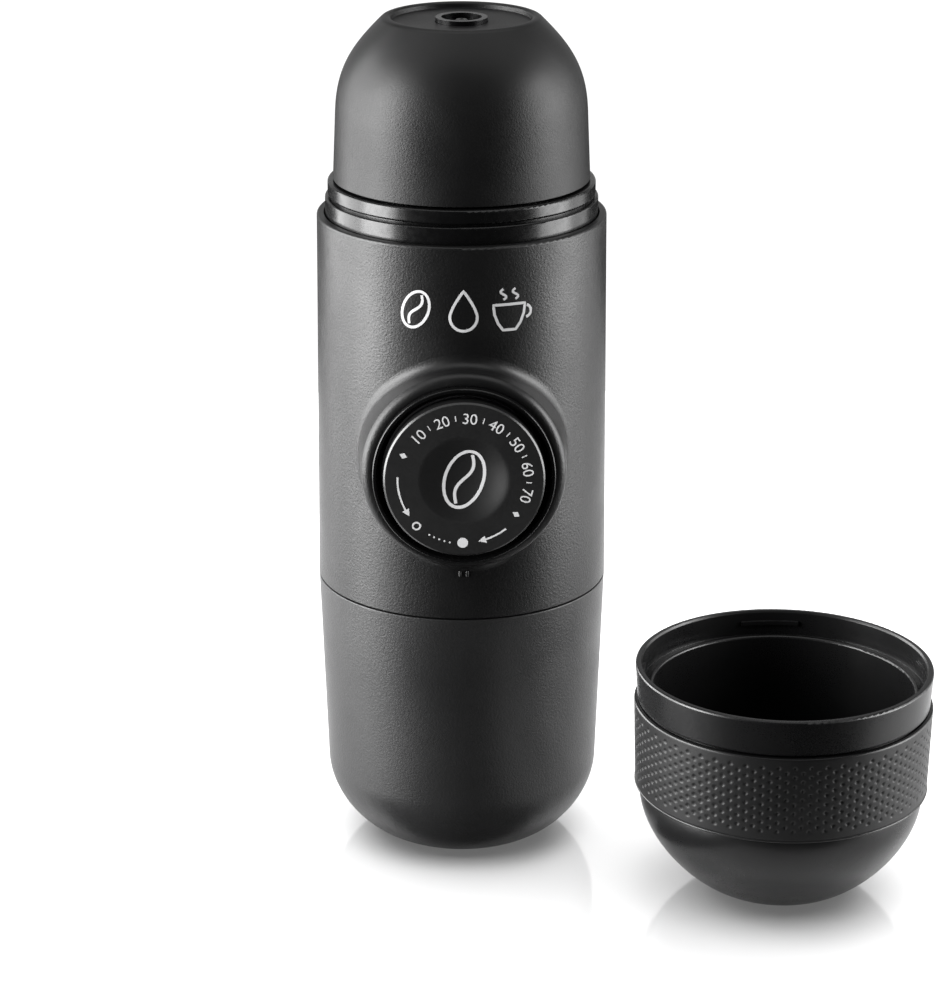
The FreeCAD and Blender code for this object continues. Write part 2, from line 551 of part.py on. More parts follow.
def pump_frame():
    """Moulded frame: neck and floor that close the tank, cheeks, cross plate, saddle and deck."""
    inner = NECK_R - NECK_WALL
    cheek_out = CHEEK_IN + CHEEK_THICK
    neck = ring(NECK_R, inner, NECK_LOW_Z, SHELL_LOW_Z)
    floor = disc(NECK_R, FLOOR_LOW_Z, SHELL_LOW_Z)
    flange = disc(PARTING_R - SHELL_WALL - BODY_GAP, SHELL_LOW_Z, SHELL_LOW_Z + FLANGE_THICK)
    deck = disc(DECK_R, DECK_Z - FLOOR_THICK, DECK_Z)
    pieces = [neck, floor, flange, deck]
    for side in (-1, 1):
        x0, x1 = sorted((side * CHEEK_IN, side * cheek_out))
        pieces.append(block(x0, x1, -PLATE_FRONT_W, CHEEK_REAR_Y, SHELL_LOW_Z, DECK_Z))
    plate = block(-PLATE_HALF, PLATE_HALF, -PLATE_FRONT_W, -PLATE_W, SHELL_LOW_Z, DECK_Z)
    saddle = facing_front(disc(SADDLE_R, BARREL_REAR_W + 5, PLATE_FRONT_W))
    web = block(-CHEEK_IN - 1, CHEEK_IN + 1, -PLATE_W - 1, -BARREL_REAR_W - 5,
                KNOB_Z - 1.2, KNOB_Z + 1.2)
    frame = fused(pieces + [plate, saddle, web])
    low_window = SHELL_LOW_Z + FLANGE_THICK + WINDOW_LOW_MARGIN
    top_window = DECK_Z - FLOOR_THICK - WINDOW_TOP_MARGIN - WINDOW_H
    half = CHEEK_IN - WINDOW_INSET
    for low in (low_window, top_window):
        frame = frame.cut(block(-half, half, -PLATE_FRONT_W - 1, -PLATE_W + 1, low, low + WINDOW_H))
        frame = frame.cut(block(-cheek_out - 1, cheek_out + 1, WINDOW_INSET, CHEEK_REAR_Y - WINDOW_INSET - 1,
                                low, low + WINDOW_H))
    frame = frame.cut(facing_front(disc(BARREL_R + RUN_FIT, BARREL_REAR_W, PLATE_FRONT_W + 1)))
    frame = frame.cut(disc(DECK_HOLE_R, DECK_Z - FLOOR_THICK - 1, DECK_Z + 1))
    frame = frame.cut(disc(PIPE_R + RUN_FIT, FLOOR_LOW_Z - 1, DECK_Z + 1, 0, VALVE_Y))
    frame = frame.cut(disc(VENT_R + RUN_FIT, FLOOR_LOW_Z - 1, SHELL_LOW_Z + FLANGE_THICK + 1, 0, VENT_Y))
    for x, y in screw_places_on_group():
        frame = frame.cut(disc(SCREW_R, DECK_Z - FLOOR_THICK - 1, DECK_Z + 1, x, y))
    for x, y in screw_places_on_guide():
        pilot = disc(SCREW_R, PLATE_FRONT_W - SCREW_LENGTH, PLATE_FRONT_W + 1, x, y)
        frame = frame.cut(facing_front(pilot))
    for side in (-1, 1):
        pilot = disc(SCREW_R, -CHEEK_REAR_Y - 1, -CHEEK_REAR_Y + SCREW_LENGTH, side * EAR_SCREW_X, 0)
        frame = frame.cut(facing_front(pilot))
    return frame


def frame_screws():
    """Ten identical screws: four in the group, four in the guide's flange, two in the valve block's ears."""
    screws = []
    for x, y in screw_places_on_group():
        screws.append(screw(x, y, DECK_Z - FLOOR_THICK))
    guide_head_w = PLATE_FRONT_W + GUIDE_FLANGE_THICK
    for x, y in screw_places_on_guide():
        piece = screw(x, y, 0)
        piece.rotate(Vector(0, 0, 0), Vector(1, 0, 0), 180)
        piece.translate(Vector(0, 2 * y, guide_head_w))
        screws.append(facing_front(piece))
    for side in (-1, 1):
        screws.append(facing_front(screw(side * EAR_SCREW_X, 0, -CHEEK_REAR_Y - CHEEK_THICK)))
    return Part.makeCompound(screws)


# ---------------------------------------------------------------- knob, lock and pump
def knob_guide():
    """Tube that the knob slides in, with a screwed flange behind and two lock lugs inside."""
    bore = SLEEVE_R + RUN_FIT
    tube = ring(GUIDE_R, bore, PLATE_FRONT_W, GUIDE_FACE_W)
    flange = ring(GUIDE_FLANGE_R, bore, PLATE_FRONT_W, PLATE_FRONT_W + GUIDE_FLANGE_THICK)
    for x, y in screw_places_on_guide():
        flange = flange.cut(disc(SCREW_R, PLATE_FRONT_W - 1, PLATE_FRONT_W + GUIDE_FLANGE_THICK + 1, x, y))
    pieces = [tube, flange]
    for side in (-1, 1):
        x0, x1 = sorted((side * (bore - LUG_HEIGHT), side * (bore + 0.5)))
        pieces.append(block(x0, x1, -LUG_WIDTH / 2, LUG_WIDTH / 2, LUG_W, LUG_W + LUG_LENGTH))
    head_w = PLATE_FRONT_W + GUIDE_FLANGE_THICK
    for x, y in screw_places_on_guide():
        pieces[0] = pieces[0].cut(disc(SCREW_HEAD_R, head_w, head_w + GUIDE_SCREW_ROOM, x, y))
    return facing_front(fused(pieces))


def knob_sleeve():
    """The knob's skirt: a tube with a web for the rod, and two L-shaped slots that take the lock lugs."""
    inner = SLEEVE_R - SLEEVE_WALL
    sleeve = ring(SLEEVE_R, inner, SLEEVE_REAR_W, CAP_REAR_W)
    web = ring(inner + 0.5, ROD_SPIGOT_R + RUN_FIT, WEB_W, WEB_FRONT_W)
    sleeve = fused([sleeve, web])
    half = LUG_WIDTH / 2 + LUG_CLEAR
    rear = LUG_W - STROKE - LUG_CLEAR
    front = LUG_W + LUG_LENGTH + LUG_CLEAR
    half_deg = math.degrees(math.asin(half / inner))
    leg_deg = LOCK_TURN_DEG + 2 * half_deg
    foot = LUG_LENGTH + 2 * LUG_CLEAR
    for start in (0, 180):
        sector = Part.makeCylinder(SLEEVE_R + 1, foot, Vector(0, 0, front - foot),
                                   Vector(0, 0, 1), leg_deg)
        sector = sector.cut(disc(inner - LUG_CLEAR, front - foot - 1, front + 1))
        sector.rotate(Vector(0, 0, 0), Vector(0, 0, 1), start - half_deg - LOCK_TURN_DEG)
        slot = block(inner - LUG_CLEAR, SLEEVE_R + 1, -half, half, rear, front)
        slot.rotate(Vector(0, 0, 0), Vector(0, 0, 1), start)
        sleeve = sleeve.cut(slot).cut(sector)
    return facing_front(sleeve)


def knob_cap():
    """Front disc with a dished middle and a spigot that snaps into the sleeve."""
    edge = 0.35
    dish_low = KNOB_FACE_W - DISH_DEPTH
    spigot_r = SLEEVE_R - SLEEVE_WALL - RUN_FIT
    spigot_in = spigot_r - CAP_SPIGOT_WALL
    outline = [
        line((0, CAP_REAR_W), (spigot_in, CAP_REAR_W)),
        line((spigot_in, CAP_REAR_W), (spigot_in, WEB_FRONT_W)),
        line((spigot_in, WEB_FRONT_W), (spigot_r, WEB_FRONT_W)),
        line((spigot_r, WEB_FRONT_W), (spigot_r, CAP_REAR_W)),
        line((spigot_r, CAP_REAR_W), (KNOB_R, CAP_REAR_W)),
        line((KNOB_R, CAP_REAR_W), (KNOB_R, KNOB_FACE_W - edge)),
        line((KNOB_R, KNOB_FACE_W - edge), (KNOB_R - edge, KNOB_FACE_W)),
        line((KNOB_R - edge, KNOB_FACE_W), (DISH_R, KNOB_FACE_W)),
        curve((DISH_R, KNOB_FACE_W), (DISH_R * 0.85, KNOB_FACE_W), (DISH_R * 0.65, dish_low), (0, dish_low)),
        line((0, dish_low), (0, CAP_REAR_W))]
    return facing_front(turned(Part.Wire(outline)))


def knob_screw():
    """Pan-head screw with a hexagon socket, that keeps the sleeve on the rod."""
    head_w = WEB_FRONT_W + 0.1
    head = disc(4.0, head_w, head_w + 1.6)
    shank = disc(1.2, head_w - 9.0, head_w)
    corners = [Vector(1.25 * math.cos(k * math.pi / 3), 1.25 * math.sin(k * math.pi / 3), head_w + 0.6)
               for k in range(7)]
    socket = Part.Face(Part.makePolygon(corners)).extrude(Vector(0, 0, 2))
    return facing_front(head.fuse(shank).removeSplitter().cut(socket))


def piston_rod():
    """Rod from the piston to the knob, with a threaded spigot at the back and a tapped nose."""
    rod = fused([disc(ROD_R, PISTON_FRONT_W, WEB_W - 0.1),
                 disc(ROD_SPIGOT_R, WEB_W - 0.1, WEB_FRONT_W + 0.1),
                 disc(ROD_R - 1.0, PISTON_FRONT_W - 4.5, PISTON_FRONT_W)])
    return facing_front(rod.cut(disc(1.2, WEB_FRONT_W + 0.1 - 9.0, WEB_FRONT_W + 1)))


def seal_places():
    return [PISTON_REAR_W + 2.2, PISTON_FRONT_W - 2.2]


def piston_head():
    """Piston with two ring grooves and a blind thread for the rod."""
    head = disc(BARREL_BORE_R - RUN_FIT, PISTON_REAR_W, PISTON_FRONT_W)
    head = head.cut(disc(ROD_R - 1.0, PISTON_FRONT_W - 4.5, PISTON_FRONT_W + 1))
    half = RING_WIRE_R + RUN_FIT
    groove_r = BARREL_BORE_R - RUN_FIT - 2 * RING_WIRE_R
    for w in seal_places():
        head = head.cut(ring(BARREL_BORE_R + 1, groove_r, w - half, w + half))
    return facing_front(head)


def piston_seals():
    """Two O-rings in the piston's grooves."""
    middle = BARREL_BORE_R - RUN_FIT - RING_WIRE_R
    rings = [Part.makeTorus(middle, RING_WIRE_R, Vector(0, 0, w)) for w in seal_places()]
    return facing_front(Part.makeCompound(rings))


def pump_barrel():
    """Cylinder of the pump, open at the back on the valve block, with a flange on the cross plate."""
    barrel = ring(BARREL_R, BARREL_BORE_R, BARREL_REAR_W, BARREL_FRONT_W)
    flange = ring(BARREL_FLANGE_R, BARREL_BORE_R, PLATE_FRONT_W, PLATE_FRONT_W + BARREL_FLANGE_THICK)
    return facing_front(fused([barrel, flange]))


def barrel_gland():
    """Cap nut on the barrel's front end, with the rod's bore and a pocket for its seal."""
    gland = ring(GLAND_R, ROD_R + RUN_FIT, GLAND_REAR_W, GLAND_FRONT_W)
    gland = gland.cut(disc(BARREL_R + RUN_FIT, GLAND_REAR_W - 1, BARREL_FRONT_W))
    gland = gland.cut(disc(ROD_R + RUN_FIT + 2 * RING_WIRE_R + RUN_FIT, BARREL_FRONT_W - 1,
                           BARREL_FRONT_W + 2 * RING_WIRE_R + 0.2))
    for k in range(12):
        flute = disc(0.7, GLAND_REAR_W - 1, GLAND_FRONT_W + 1, GLAND_R + 0.3, 0)
        flute.rotate(Vector(0, 0, 0), Vector(0, 0, 1), 30 * k)
        gland = gland.cut(flute)
    return facing_front(gland)


def rod_seal():
    """O-ring round the rod, in the gland's pocket."""
    middle = ROD_R + RUN_FIT + RING_WIRE_R
    return facing_front(Part.makeTorus(middle, RING_WIRE_R, Vector(0, 0, BARREL_FRONT_W + RING_WIRE_R + 0.1)))


def return_spring():
    """Spring between gland and knob, drawn squeezed as it is with the knob home."""
    return facing_front(coil(SPRING_R, SPRING_WIRE_R, SPRING_TURNS, GLAND_FRONT_W, WEB_W - BODY_GAP))


# ---------------------------------------------------------------- valves
def valve_block():
    """Port block behind the barrel: one cross port, and a ball chamber below and above it."""
    low_y = -BARREL_REAR_W
    body = block(-BLOCK_HALF, BLOCK_HALF, low_y, low_y + BLOCK_DEPTH, BLOCK_LOW_Z, BLOCK_TOP_Z)
    corners = [edge for edge in body.Edges if edge.BoundBox.ZLength > 20 and edge.BoundBox.YMin > low_y + 1]
    body = body.makeFillet(2.5, corners)
    ear_out = CHEEK_IN + CHEEK_THICK
    ears = block(-ear_out, ear_out, CHEEK_REAR_Y, CHEEK_REAR_Y + CHEEK_THICK, KNOB_Z - 4, KNOB_Z + 4)
    body = fused([body, ears])
    body = body.cut(disc(VALVE_BORE_R, BLOCK_LOW_Z - 1, INLET_STOP_Z, 0, VALVE_Y))
    body = body.cut(disc(PORT_R, INLET_STOP_Z - 1, OUTLET_SEAT_Z + 1, 0, VALVE_Y))
    body = body.cut(disc(VALVE_BORE_R, OUTLET_SEAT_Z, BLOCK_TOP_Z + 1, 0, VALVE_Y))
    body = body.cut(facing_front(disc(PORT_R, -VALVE_Y, BARREL_REAR_W + 1)))
    for side in (-1, 1):
        hole = disc(SCREW_R, -CHEEK_REAR_Y - CHEEK_THICK - 1, -CHEEK_REAR_Y + 1, side * EAR_SCREW_X, 0)
        body = body.cut(facing_front(hole))
    return body


def seat_height(ball_r, port_r):
    """Height of a ball's middle above the sharp edge that it sits on."""
    return math.sqrt(ball_r * ball_r - port_r * port_r)


INLET_BALL_Z = INLET_SEAT_Z + seat_height(BALL_R, PORT_R) + 0.02
OUTLET_BALL_Z = OUTLET_SEAT_Z + seat_height(BALL_R, PORT_R) + 0.02


def inlet_fitting():
    """Screwed plug that is the inlet valve's seat, with a pipe down through the frame's floor."""
    plug_r = VALVE_BORE_R - RUN_FIT
    plug = disc(plug_r, BLOCK_LOW_Z, INLET_SEAT_Z, 0, VALVE_Y)
    collar = disc(VALVE_BORE_R + 0.9, BLOCK_LOW_Z - 3, BLOCK_LOW_Z, 0, VALVE_Y)
    pipe = disc(PIPE_R, FLOOR_LOW_Z - 0.5, BLOCK_LOW_Z - 3, 0, VALVE_Y)
    fitting = fused([plug, collar, pipe])
    fitting = fitting.cut(disc(PIPE_BORE_R, FLOOR_LOW_Z - 2, INLET_SEAT_Z - 1, 0, VALVE_Y))
    return fitting.cut(disc(PORT_R, INLET_SEAT_Z - 1.5, INLET_SEAT_Z + 1, 0, VALVE_Y))


def outlet_fitting():
    """Plug that stops the outlet spring, with a pipe up into the group's floor."""
    plug = disc(VALVE_BORE_R - RUN_FIT, OUTLET_STOP_Z, BLOCK_TOP_Z, 0, VALVE_Y)
    collar = disc(VALVE_BORE_R + 0.9, BLOCK_TOP_Z, BLOCK_TOP_Z + 3, 0, VALVE_Y)
    pipe = disc(PIPE_R, BLOCK_TOP_Z + 3, DECK_Z + GROUP_FLOOR / 2, 0, VALVE_Y)
    return fused([plug, collar, pipe]).cut(disc(PIPE_BORE_R, OUTLET_STOP_Z - 1, DECK_Z + 9, 0, VALVE_Y))


def inlet_strainer():
    """Perforated cap on the foot of the inlet pipe."""
    top = FLOOR_LOW_Z
    cap = disc(PIPE_R + 1.2, top - 3.2, top, 0, VALVE_Y)
    cap = cap.cut(disc(PIPE_R + RUN_FIT, top - 2.4, top + 1, 0, VALVE_Y))
    for x, y in hole_pattern(1.9, PIPE_R):
        cap = cap.cut(disc(0.5, top - 4, top - 2, x, y + VALVE_Y))
    return cap


def vent_tube():
    """Tube from the frame's floor to the far end of the tank."""
    return ring(VENT_R, VENT_BORE_R, VENT_LOW_Z, SHELL_LOW_Z + FLANGE_THICK, 0, VENT_Y)


def air_valve():
    """Rubber duckbill on the end of the vent tube: a socket that flattens to a slit."""
    outer = VENT_R + RUN_FIT + BILL_WALL
    socket = disc(outer, VENT_LOW_Z - 1.0, VENT_LOW_Z + 4.0)
    socket = socket.cut(disc(VENT_R + RUN_FIT, VENT_LOW_Z, VENT_LOW_Z + 5.0))
    round_end = Part.Wire(Part.makeCircle(outer, Vector(0, 0, VENT_LOW_Z - 1.0)))
    tip = Part.Wire(Part.Ellipse(Vector(outer, 0, BILL_TIP_Z), Vector(0, 0.6, BILL_TIP_Z),
                                 Vector(0, 0, BILL_TIP_Z)).toShape())
    bill = Part.makeLoft([tip, round_end], True)
    valve = fused([socket, bill])
    valve = valve.cut(Part.makeCone(0.1, VENT_BORE_R, 3.0, Vector(0, 0, VENT_LOW_Z - 3.0)))
    valve = valve.cut(block(-1.6, 1.6, -0.08, 0.08, BILL_TIP_Z - 1, VENT_LOW_Z - 2.0))
    valve.translate(Vector(0, VENT_Y, 0))
    return valve


# ---------------------------------------------------------------- group and basket
def group_collar():
    """Glossy collar, brewing chamber and threaded neck in one moulding, cored out from below."""
    lower_top = COLLAR_STEP_Z
    upper_low = COLLAR_STEP_Z + COLLAR_GROOVE
    collar = turned(profile([
        (0, DECK_Z), (COLLAR_R, DECK_Z), (COLLAR_R, lower_top), (COLLAR_GROOVE_R, lower_top),
        (COLLAR_GROOVE_R, upper_low), (COLLAR_TOP_R, upper_low), (COLLAR_TOP_R, COLLAR_TOP_Z),
        (GROUP_NECK_R, COLLAR_TOP_Z), (GROUP_NECK_R, GROUP_NECK_Z), (CHAMBER_R, GROUP_NECK_Z),
        (CHAMBER_R, GROUP_FLOOR_Z), (0, GROUP_FLOOR_Z)]))
    collar = round_edges(collar, 0.5, lambda r, z: abs(r - COLLAR_TOP_R) < 0.01)
    collar = round_edges(collar, 0.35, at_circle(COLLAR_R, lower_top))
    core = ring(COLLAR_R - COLLAR_WALL, GROUP_NECK_R + 0.6, DECK_Z - 1, COLLAR_TOP_Z - 2.0)
    for x, y in screw_places_on_group():
        core = core.cut(disc(SCREW_R + COLLAR_WALL, DECK_Z - 2, COLLAR_TOP_Z, x, y))
    collar = collar.cut(core)
    for x, y in screw_places_on_group():
        collar = collar.cut(disc(SCREW_R, DECK_Z - 1, DECK_Z - FLOOR_THICK + SCREW_LENGTH, x, y))
    port_z = DECK_Z + GROUP_FLOOR / 2
    port_y = CHAMBER_R * 0.6
    collar = collar.cut(disc(PIPE_R + RUN_FIT, DECK_Z - 1, port_z, 0, VALVE_Y))
    channel = Part.makeCylinder(0.9, VALVE_Y - port_y, Vector(0, port_y, port_z), Vector(0, 1, 0))
    collar = collar.cut(channel).cut(disc(PIPE_BORE_R, port_z, GROUP_FLOOR_Z + 1, 0, port_y))
    return collar.cut(disc(1.2, DECK_Z + 0.5, GROUP_FLOOR_Z + 1))


def shower_plate():
    """Perforated plate that spreads the water under the basket."""
    foot_z = GROUP_FLOOR_Z + SHOWER_FOOT
    plate = turned(profile([
        (0, foot_z), (SHOWER_R - 1.0, foot_z), (SHOWER_R - 1.0, GROUP_FLOOR_Z), (SHOWER_R, GROUP_FLOOR_Z),
        (SHOWER_R, SHOWER_TOP_Z), (0, SHOWER_TOP_Z)]))
    plate = plate.cut(disc(1.3, foot_z - 1, SHOWER_TOP_Z + 1))
    return perforated(plate, hole_pattern(SHOWER_PITCH, SHOWER_R - 3.5, 3.5), foot_z - 1, SHOWER_TOP_Z + 1)


def shower_screw():
    """Low round-headed screw in the middle of the shower plate."""
    head = disc(2.4, SHOWER_TOP_Z, SHOWER_TOP_Z + 0.9)
    head = round_edges(head, 0.5, at_circle(2.4, SHOWER_TOP_Z + 0.9))
    slot = block(-3, 3, -0.3, 0.3, SHOWER_TOP_Z + 0.5, SHOWER_TOP_Z + 2)
    return head.cut(slot).fuse(disc(1.2, DECK_Z + 0.5, SHOWER_TOP_Z)).removeSplitter()


def basket_gasket():
    return ring(CHAMBER_R - 0.2, GASKET_IN_R, SHOWER_TOP_Z, BASKET_LOW_Z)


def filter_basket():
    """Pressed basket with a rolled rim and a perforated floor."""
    basket = turned(profile([
        (0, BASKET_LOW_Z), (BASKET_R, BASKET_LOW_Z), (BASKET_R, GROUP_NECK_Z - 1.2),
        (BASKET_RIM_R, GROUP_NECK_Z - 1.2), (BASKET_RIM_R, GROUP_NECK_Z),
        (BASKET_R - BASKET_WALL, GROUP_NECK_Z), (BASKET_R - BASKET_WALL, BASKET_LOW_Z + PLATE_SHEET),
        (0, BASKET_LOW_Z + PLATE_SHEET)]))
    places = hole_pattern(BASKET_PITCH, BASKET_R - 3.0)
    return perforated(basket, places, BASKET_LOW_Z - 1, BASKET_LOW_Z + PLATE_SHEET + 1)


# ---------------------------------------------------------------- outlet head
def outlet_head():
    """Matte dome: a drafted skirt, one smooth shoulder, a rounded crest and a shallow recess on top."""
    crest_in = CREST_ROUND * math.sin(math.radians(45))
    end = (CREST_R + crest_in, HEAD_TOP_Z - CREST_ROUND + crest_in)
    mid_turn = math.radians(67.5)
    mid = (CREST_R + CREST_ROUND * math.cos(mid_turn), HEAD_TOP_Z - CREST_ROUND * (1 - math.sin(mid_turn)))
    start = (HEAD_SHOULDER_R, HEAD_SHOULDER_Z)
    lean = (HEAD_BASE_R - HEAD_SHOULDER_R) / (HEAD_SHOULDER_Z - HEAD_BASE_Z)
    pull_a = (start[0] - SHOULDER_PULL * lean, start[1] + SHOULDER_PULL)
    diagonal = CREST_PULL * math.sin(math.radians(45))
    pull_b = (end[0] + diagonal, end[1] - diagonal)
    lip_r = RECESS_R + 0.7
    under = RECESS_Z - HEAD_WALL
    in_start = (HEAD_BORE_R, HEAD_SHOULDER_Z)
    in_end = (end[0] - HEAD_WALL, end[1] - HEAD_WALL)
    outline = [
        line((HEAD_BORE_R, HEAD_BASE_Z), (HEAD_BASE_R, HEAD_BASE_Z)),
        line((HEAD_BASE_R, HEAD_BASE_Z), start),
        curve(start, pull_a, pull_b, end),
        arc(end, mid, (CREST_R, HEAD_TOP_Z)),
        line((CREST_R, HEAD_TOP_Z), (lip_r, HEAD_TOP_Z)),
        arc((lip_r, HEAD_TOP_Z), (lip_r - 0.42, HEAD_TOP_Z - 0.18), (lip_r - 0.6, HEAD_TOP_Z - 0.6)),
        line((lip_r - 0.6, HEAD_TOP_Z - 0.6), (RECESS_R, RECESS_Z)),
        line((RECESS_R, RECESS_Z), (SPOUT_R + 0.1, RECESS_Z)),
        line((SPOUT_R + 0.1, RECESS_Z), (SPOUT_R + 0.1, under)),
        line((SPOUT_R + 0.1, under), (RECESS_R, under)),
        line((RECESS_R, under), in_end),
        curve(in_end, (pull_b[0] - HEAD_WALL, pull_b[1] - HEAD_WALL),
              (pull_a[0] - HEAD_WALL, pull_a[1] - HEAD_WALL), in_start),
        line(in_start, (HEAD_BORE_R, HEAD_BASE_Z))]
    return turned(Part.Wire(outline))


def head_core():
    """Threaded skirt, seal land, funnel and spout in one moulding, with six ribs under the dome."""
    top = RECESS_Z + SPOUT_PROUD
    skirt_out = HEAD_BORE_R - RUN_FIT
    cone_base = LAND_Z + 1.5
    cone_top = FUNNEL_TOP_Z + 2.2
    core = turned(profile([
        (SKIRT_R, HEAD_BASE_Z + 0.2), (skirt_out, HEAD_BASE_Z + 0.2), (skirt_out, cone_base),
        (SPOUT_R + 1.1, cone_top), (SPOUT_R, cone_top + 1.1), (SPOUT_R, top), (SPOUT_BORE_R, top),
        (SPOUT_BORE_R, FUNNEL_TOP_Z), (FUNNEL_R, cone_base + 0.5), (FUNNEL_R, LAND_Z + PLATE_SHEET),
        (SCREEN_R + 0.1, LAND_Z + PLATE_SHEET), (SCREEN_R + 0.1, LAND_Z), (SKIRT_R, LAND_Z)]))
    hub = SPOUT_R + 0.5
    rib = profile([(hub, cone_top), (skirt_out - 0.3, cone_base), (skirt_out - 1.6, cone_base + 5.5),
                   (hub, cone_top + 1.0)])
    pieces = [core]
    for k in range(6):
        web = Part.Face(rib).extrude(Vector(0, 1.2, 0))
        web.translate(Vector(0, -0.6, 0))
        web.rotate(Vector(0, 0, 0), Vector(0, 0, 1), 60 * k + 30)
        pieces.append(web)
    return fused(pieces)


def head_seal():
    """Flat rubber ring that presses on the basket's rim and the neck."""
    return ring(SKIRT_R - BODY_GAP, FUNNEL_R - 0.1, LAND_Z - SEAL_H, LAND_Z)


def outlet_screen():
    """Perforated disc over the coffee, let into the head."""
    plate = disc(SCREEN_R, LAND_Z, LAND_Z + PLATE_SHEET)
    return perforated(plate, hole_pattern(SCREEN_PITCH, FUNNEL_R - 1.2), LAND_Z - 1, LAND_Z + PLATE_SHEET + 1)


def nozzle_spreader():
    """Ring pushed into the spout, with three arms that rise to a hub with a blind hole."""
    top = RECESS_Z + SPOUT_PROUD - SPREADER_DROP
    low = top - SPREADER_H
    outer = SPOUT_BORE_R - RUN_FIT
    ring_top = low + SPREADER_H / 2
    hub = disc(SPREADER_HUB_R, low, top)
    hub = round_edges(hub, 0.35, at_circle(SPREADER_HUB_R, top))
    hub = hub.cut(disc(0.5, top - 0.9, top + 1))
    pieces = [ring(outer, outer - 0.7, low, ring_top), hub]
    side = profile([(0.7, low), (outer - 0.3, low), (outer - 0.3, ring_top - 0.1), (0.7, top - 0.4)])
    for k in range(SPREADER_ARMS):
        arm = Part.Face(side).extrude(Vector(0, 0.9, 0))
        arm.translate(Vector(0, -0.45, 0))
        arm.rotate(Vector(0, 0, 0), Vector(0, 0, 1), 90 + 360 * k / SPREADER_ARMS)
        pieces.append(arm)
    return fused(pieces)


# ---------------------------------------------------------------- cup
def cup_shell():
    """Round-bottomed cup: bowl, recess for the rubber band, plain rim band, inner ledge and clip nubs."""
    lip_r = CUP_R - CUP_LIP_WALL
    bead_z = CUP_LEDGE_Z + LEDGE_BEAD
    inner_low = GRIP_LOW_Z + 2.0
    outline = [
        line((0, 0), (CUP_FOOT_R, 0)),
        curve((CUP_FOOT_R, 0), (CUP_FOOT_R + BOWL_PULL, 0.2),
              (BOWL_R + BOWL_BULGE, GRIP_LOW_Z * 0.57), (BOWL_R, GRIP_LOW_Z)),
        line((BOWL_R, GRIP_LOW_Z), (CUP_BAND_R, GRIP_LOW_Z)),
        line((CUP_BAND_R, GRIP_LOW_Z), (CUP_BAND_R, CUP_RIM_LOW_Z)),
        line((CUP_BAND_R, CUP_RIM_LOW_Z), (CUP_BAND_FOOT_R - 0.25, CUP_RIM_LOW_Z)),
        line((CUP_BAND_FOOT_R - 0.25, CUP_RIM_LOW_Z), (CUP_BAND_FOOT_R, CUP_RIM_LOW_Z + 0.3)),
        line((CUP_BAND_FOOT_R, CUP_RIM_LOW_Z + 0.3), (CUP_R, CUP_H - 0.45)),
        arc((CUP_R, CUP_H - 0.45), (CUP_R - 0.13, CUP_H - 0.13), (CUP_R - 0.45, CUP_H)),
        line((CUP_R - 0.45, CUP_H), (lip_r + 0.3, CUP_H)),
        line((lip_r + 0.3, CUP_H), (lip_r, CUP_H - 0.4)),
        line((lip_r, CUP_H - 0.4), (lip_r, CUP_LEDGE_Z)),
        line((lip_r, CUP_LEDGE_Z), (CUP_INNER_R + 1.1, CUP_LEDGE_Z)),
        arc((CUP_INNER_R + 1.1, CUP_LEDGE_Z), (CUP_INNER_R + 0.5, bead_z), (CUP_INNER_R, CUP_LEDGE_Z)),
        line((CUP_INNER_R, CUP_LEDGE_Z), (CUP_INNER_R - 0.5, inner_low)),
        curve((CUP_INNER_R - 0.5, inner_low), (BOWL_R + BOWL_BULGE - CUP_WALL - 0.5, GRIP_LOW_Z * 0.62),
              (CUP_FOOT_R + BOWL_PULL - 1.0, CUP_WALL + 0.1), (CUP_FOOT_R - 1.0, CUP_WALL)),
        line((CUP_FOOT_R - 1.0, CUP_WALL), (0, CUP_WALL)),
        line((0, CUP_WALL), (0, 0))]
    cup = turned(Part.Wire(outline))
    low = CUP_H - NUB_DROP - NUB_HEIGHT
    pieces = [cup]
    half_deg = math.degrees(math.asin(NUB_WIDTH / 2 / lip_r))
    for k in range(NUB_COUNT):
        nub = Part.makeCylinder(lip_r + 0.3, NUB_HEIGHT, Vector(0, 0, low), Vector(0, 0, 1), 2 * half_deg)
        nub = nub.cut(disc(lip_r - NUB_PROUD, low - 1, low + 9))
        nub.rotate(Vector(0, 0, 0), Vector(0, 0, 1), 360 * k / NUB_COUNT - half_deg)
        pieces.append(nub)
    cup = fused(pieces)
    cup.translate(Vector(CUP_X, CUP_Y, 0))
    return cup


def cup_grip():
    """Rubber band round the cup: proud of the rim band above it and of the bowl below."""
    inner = CUP_BAND_R + RUN_FIT
    top = CUP_RIM_LOW_Z - GRIP_GAP
    band = turned(profile([(inner, GRIP_LOW_Z), (GRIP_LOW_R, GRIP_LOW_Z), (GRIP_R, top), (inner, top)]))
    band = round_edges(band, GRIP_ROUND, at_circle(GRIP_R, top))
    band = round_edges(band, GRIP_ROUND, at_circle(GRIP_LOW_R, GRIP_LOW_Z))
    band.translate(Vector(CUP_X, CUP_Y, 0))
    return band


# ---------------------------------------------------------------- write every piece
def ball(z):
    return Part.makeSphere(BALL_R, Vector(0, VALVE_Y, z))


def valve_coil(z0, z1):
    return coil(VALVE_SPRING_R, VALVE_WIRE_R, VALVE_TURNS, z0, z1, VALVE_Y)


def spring_foot(ball_z):
    """Height where a valve spring's lowest turn rests on its ball."""
    return ball_z + math.sqrt((BALL_R + VALVE_WIRE_R) ** 2 - VALVE_SPRING_R ** 2) - VALVE_WIRE_R + 0.05


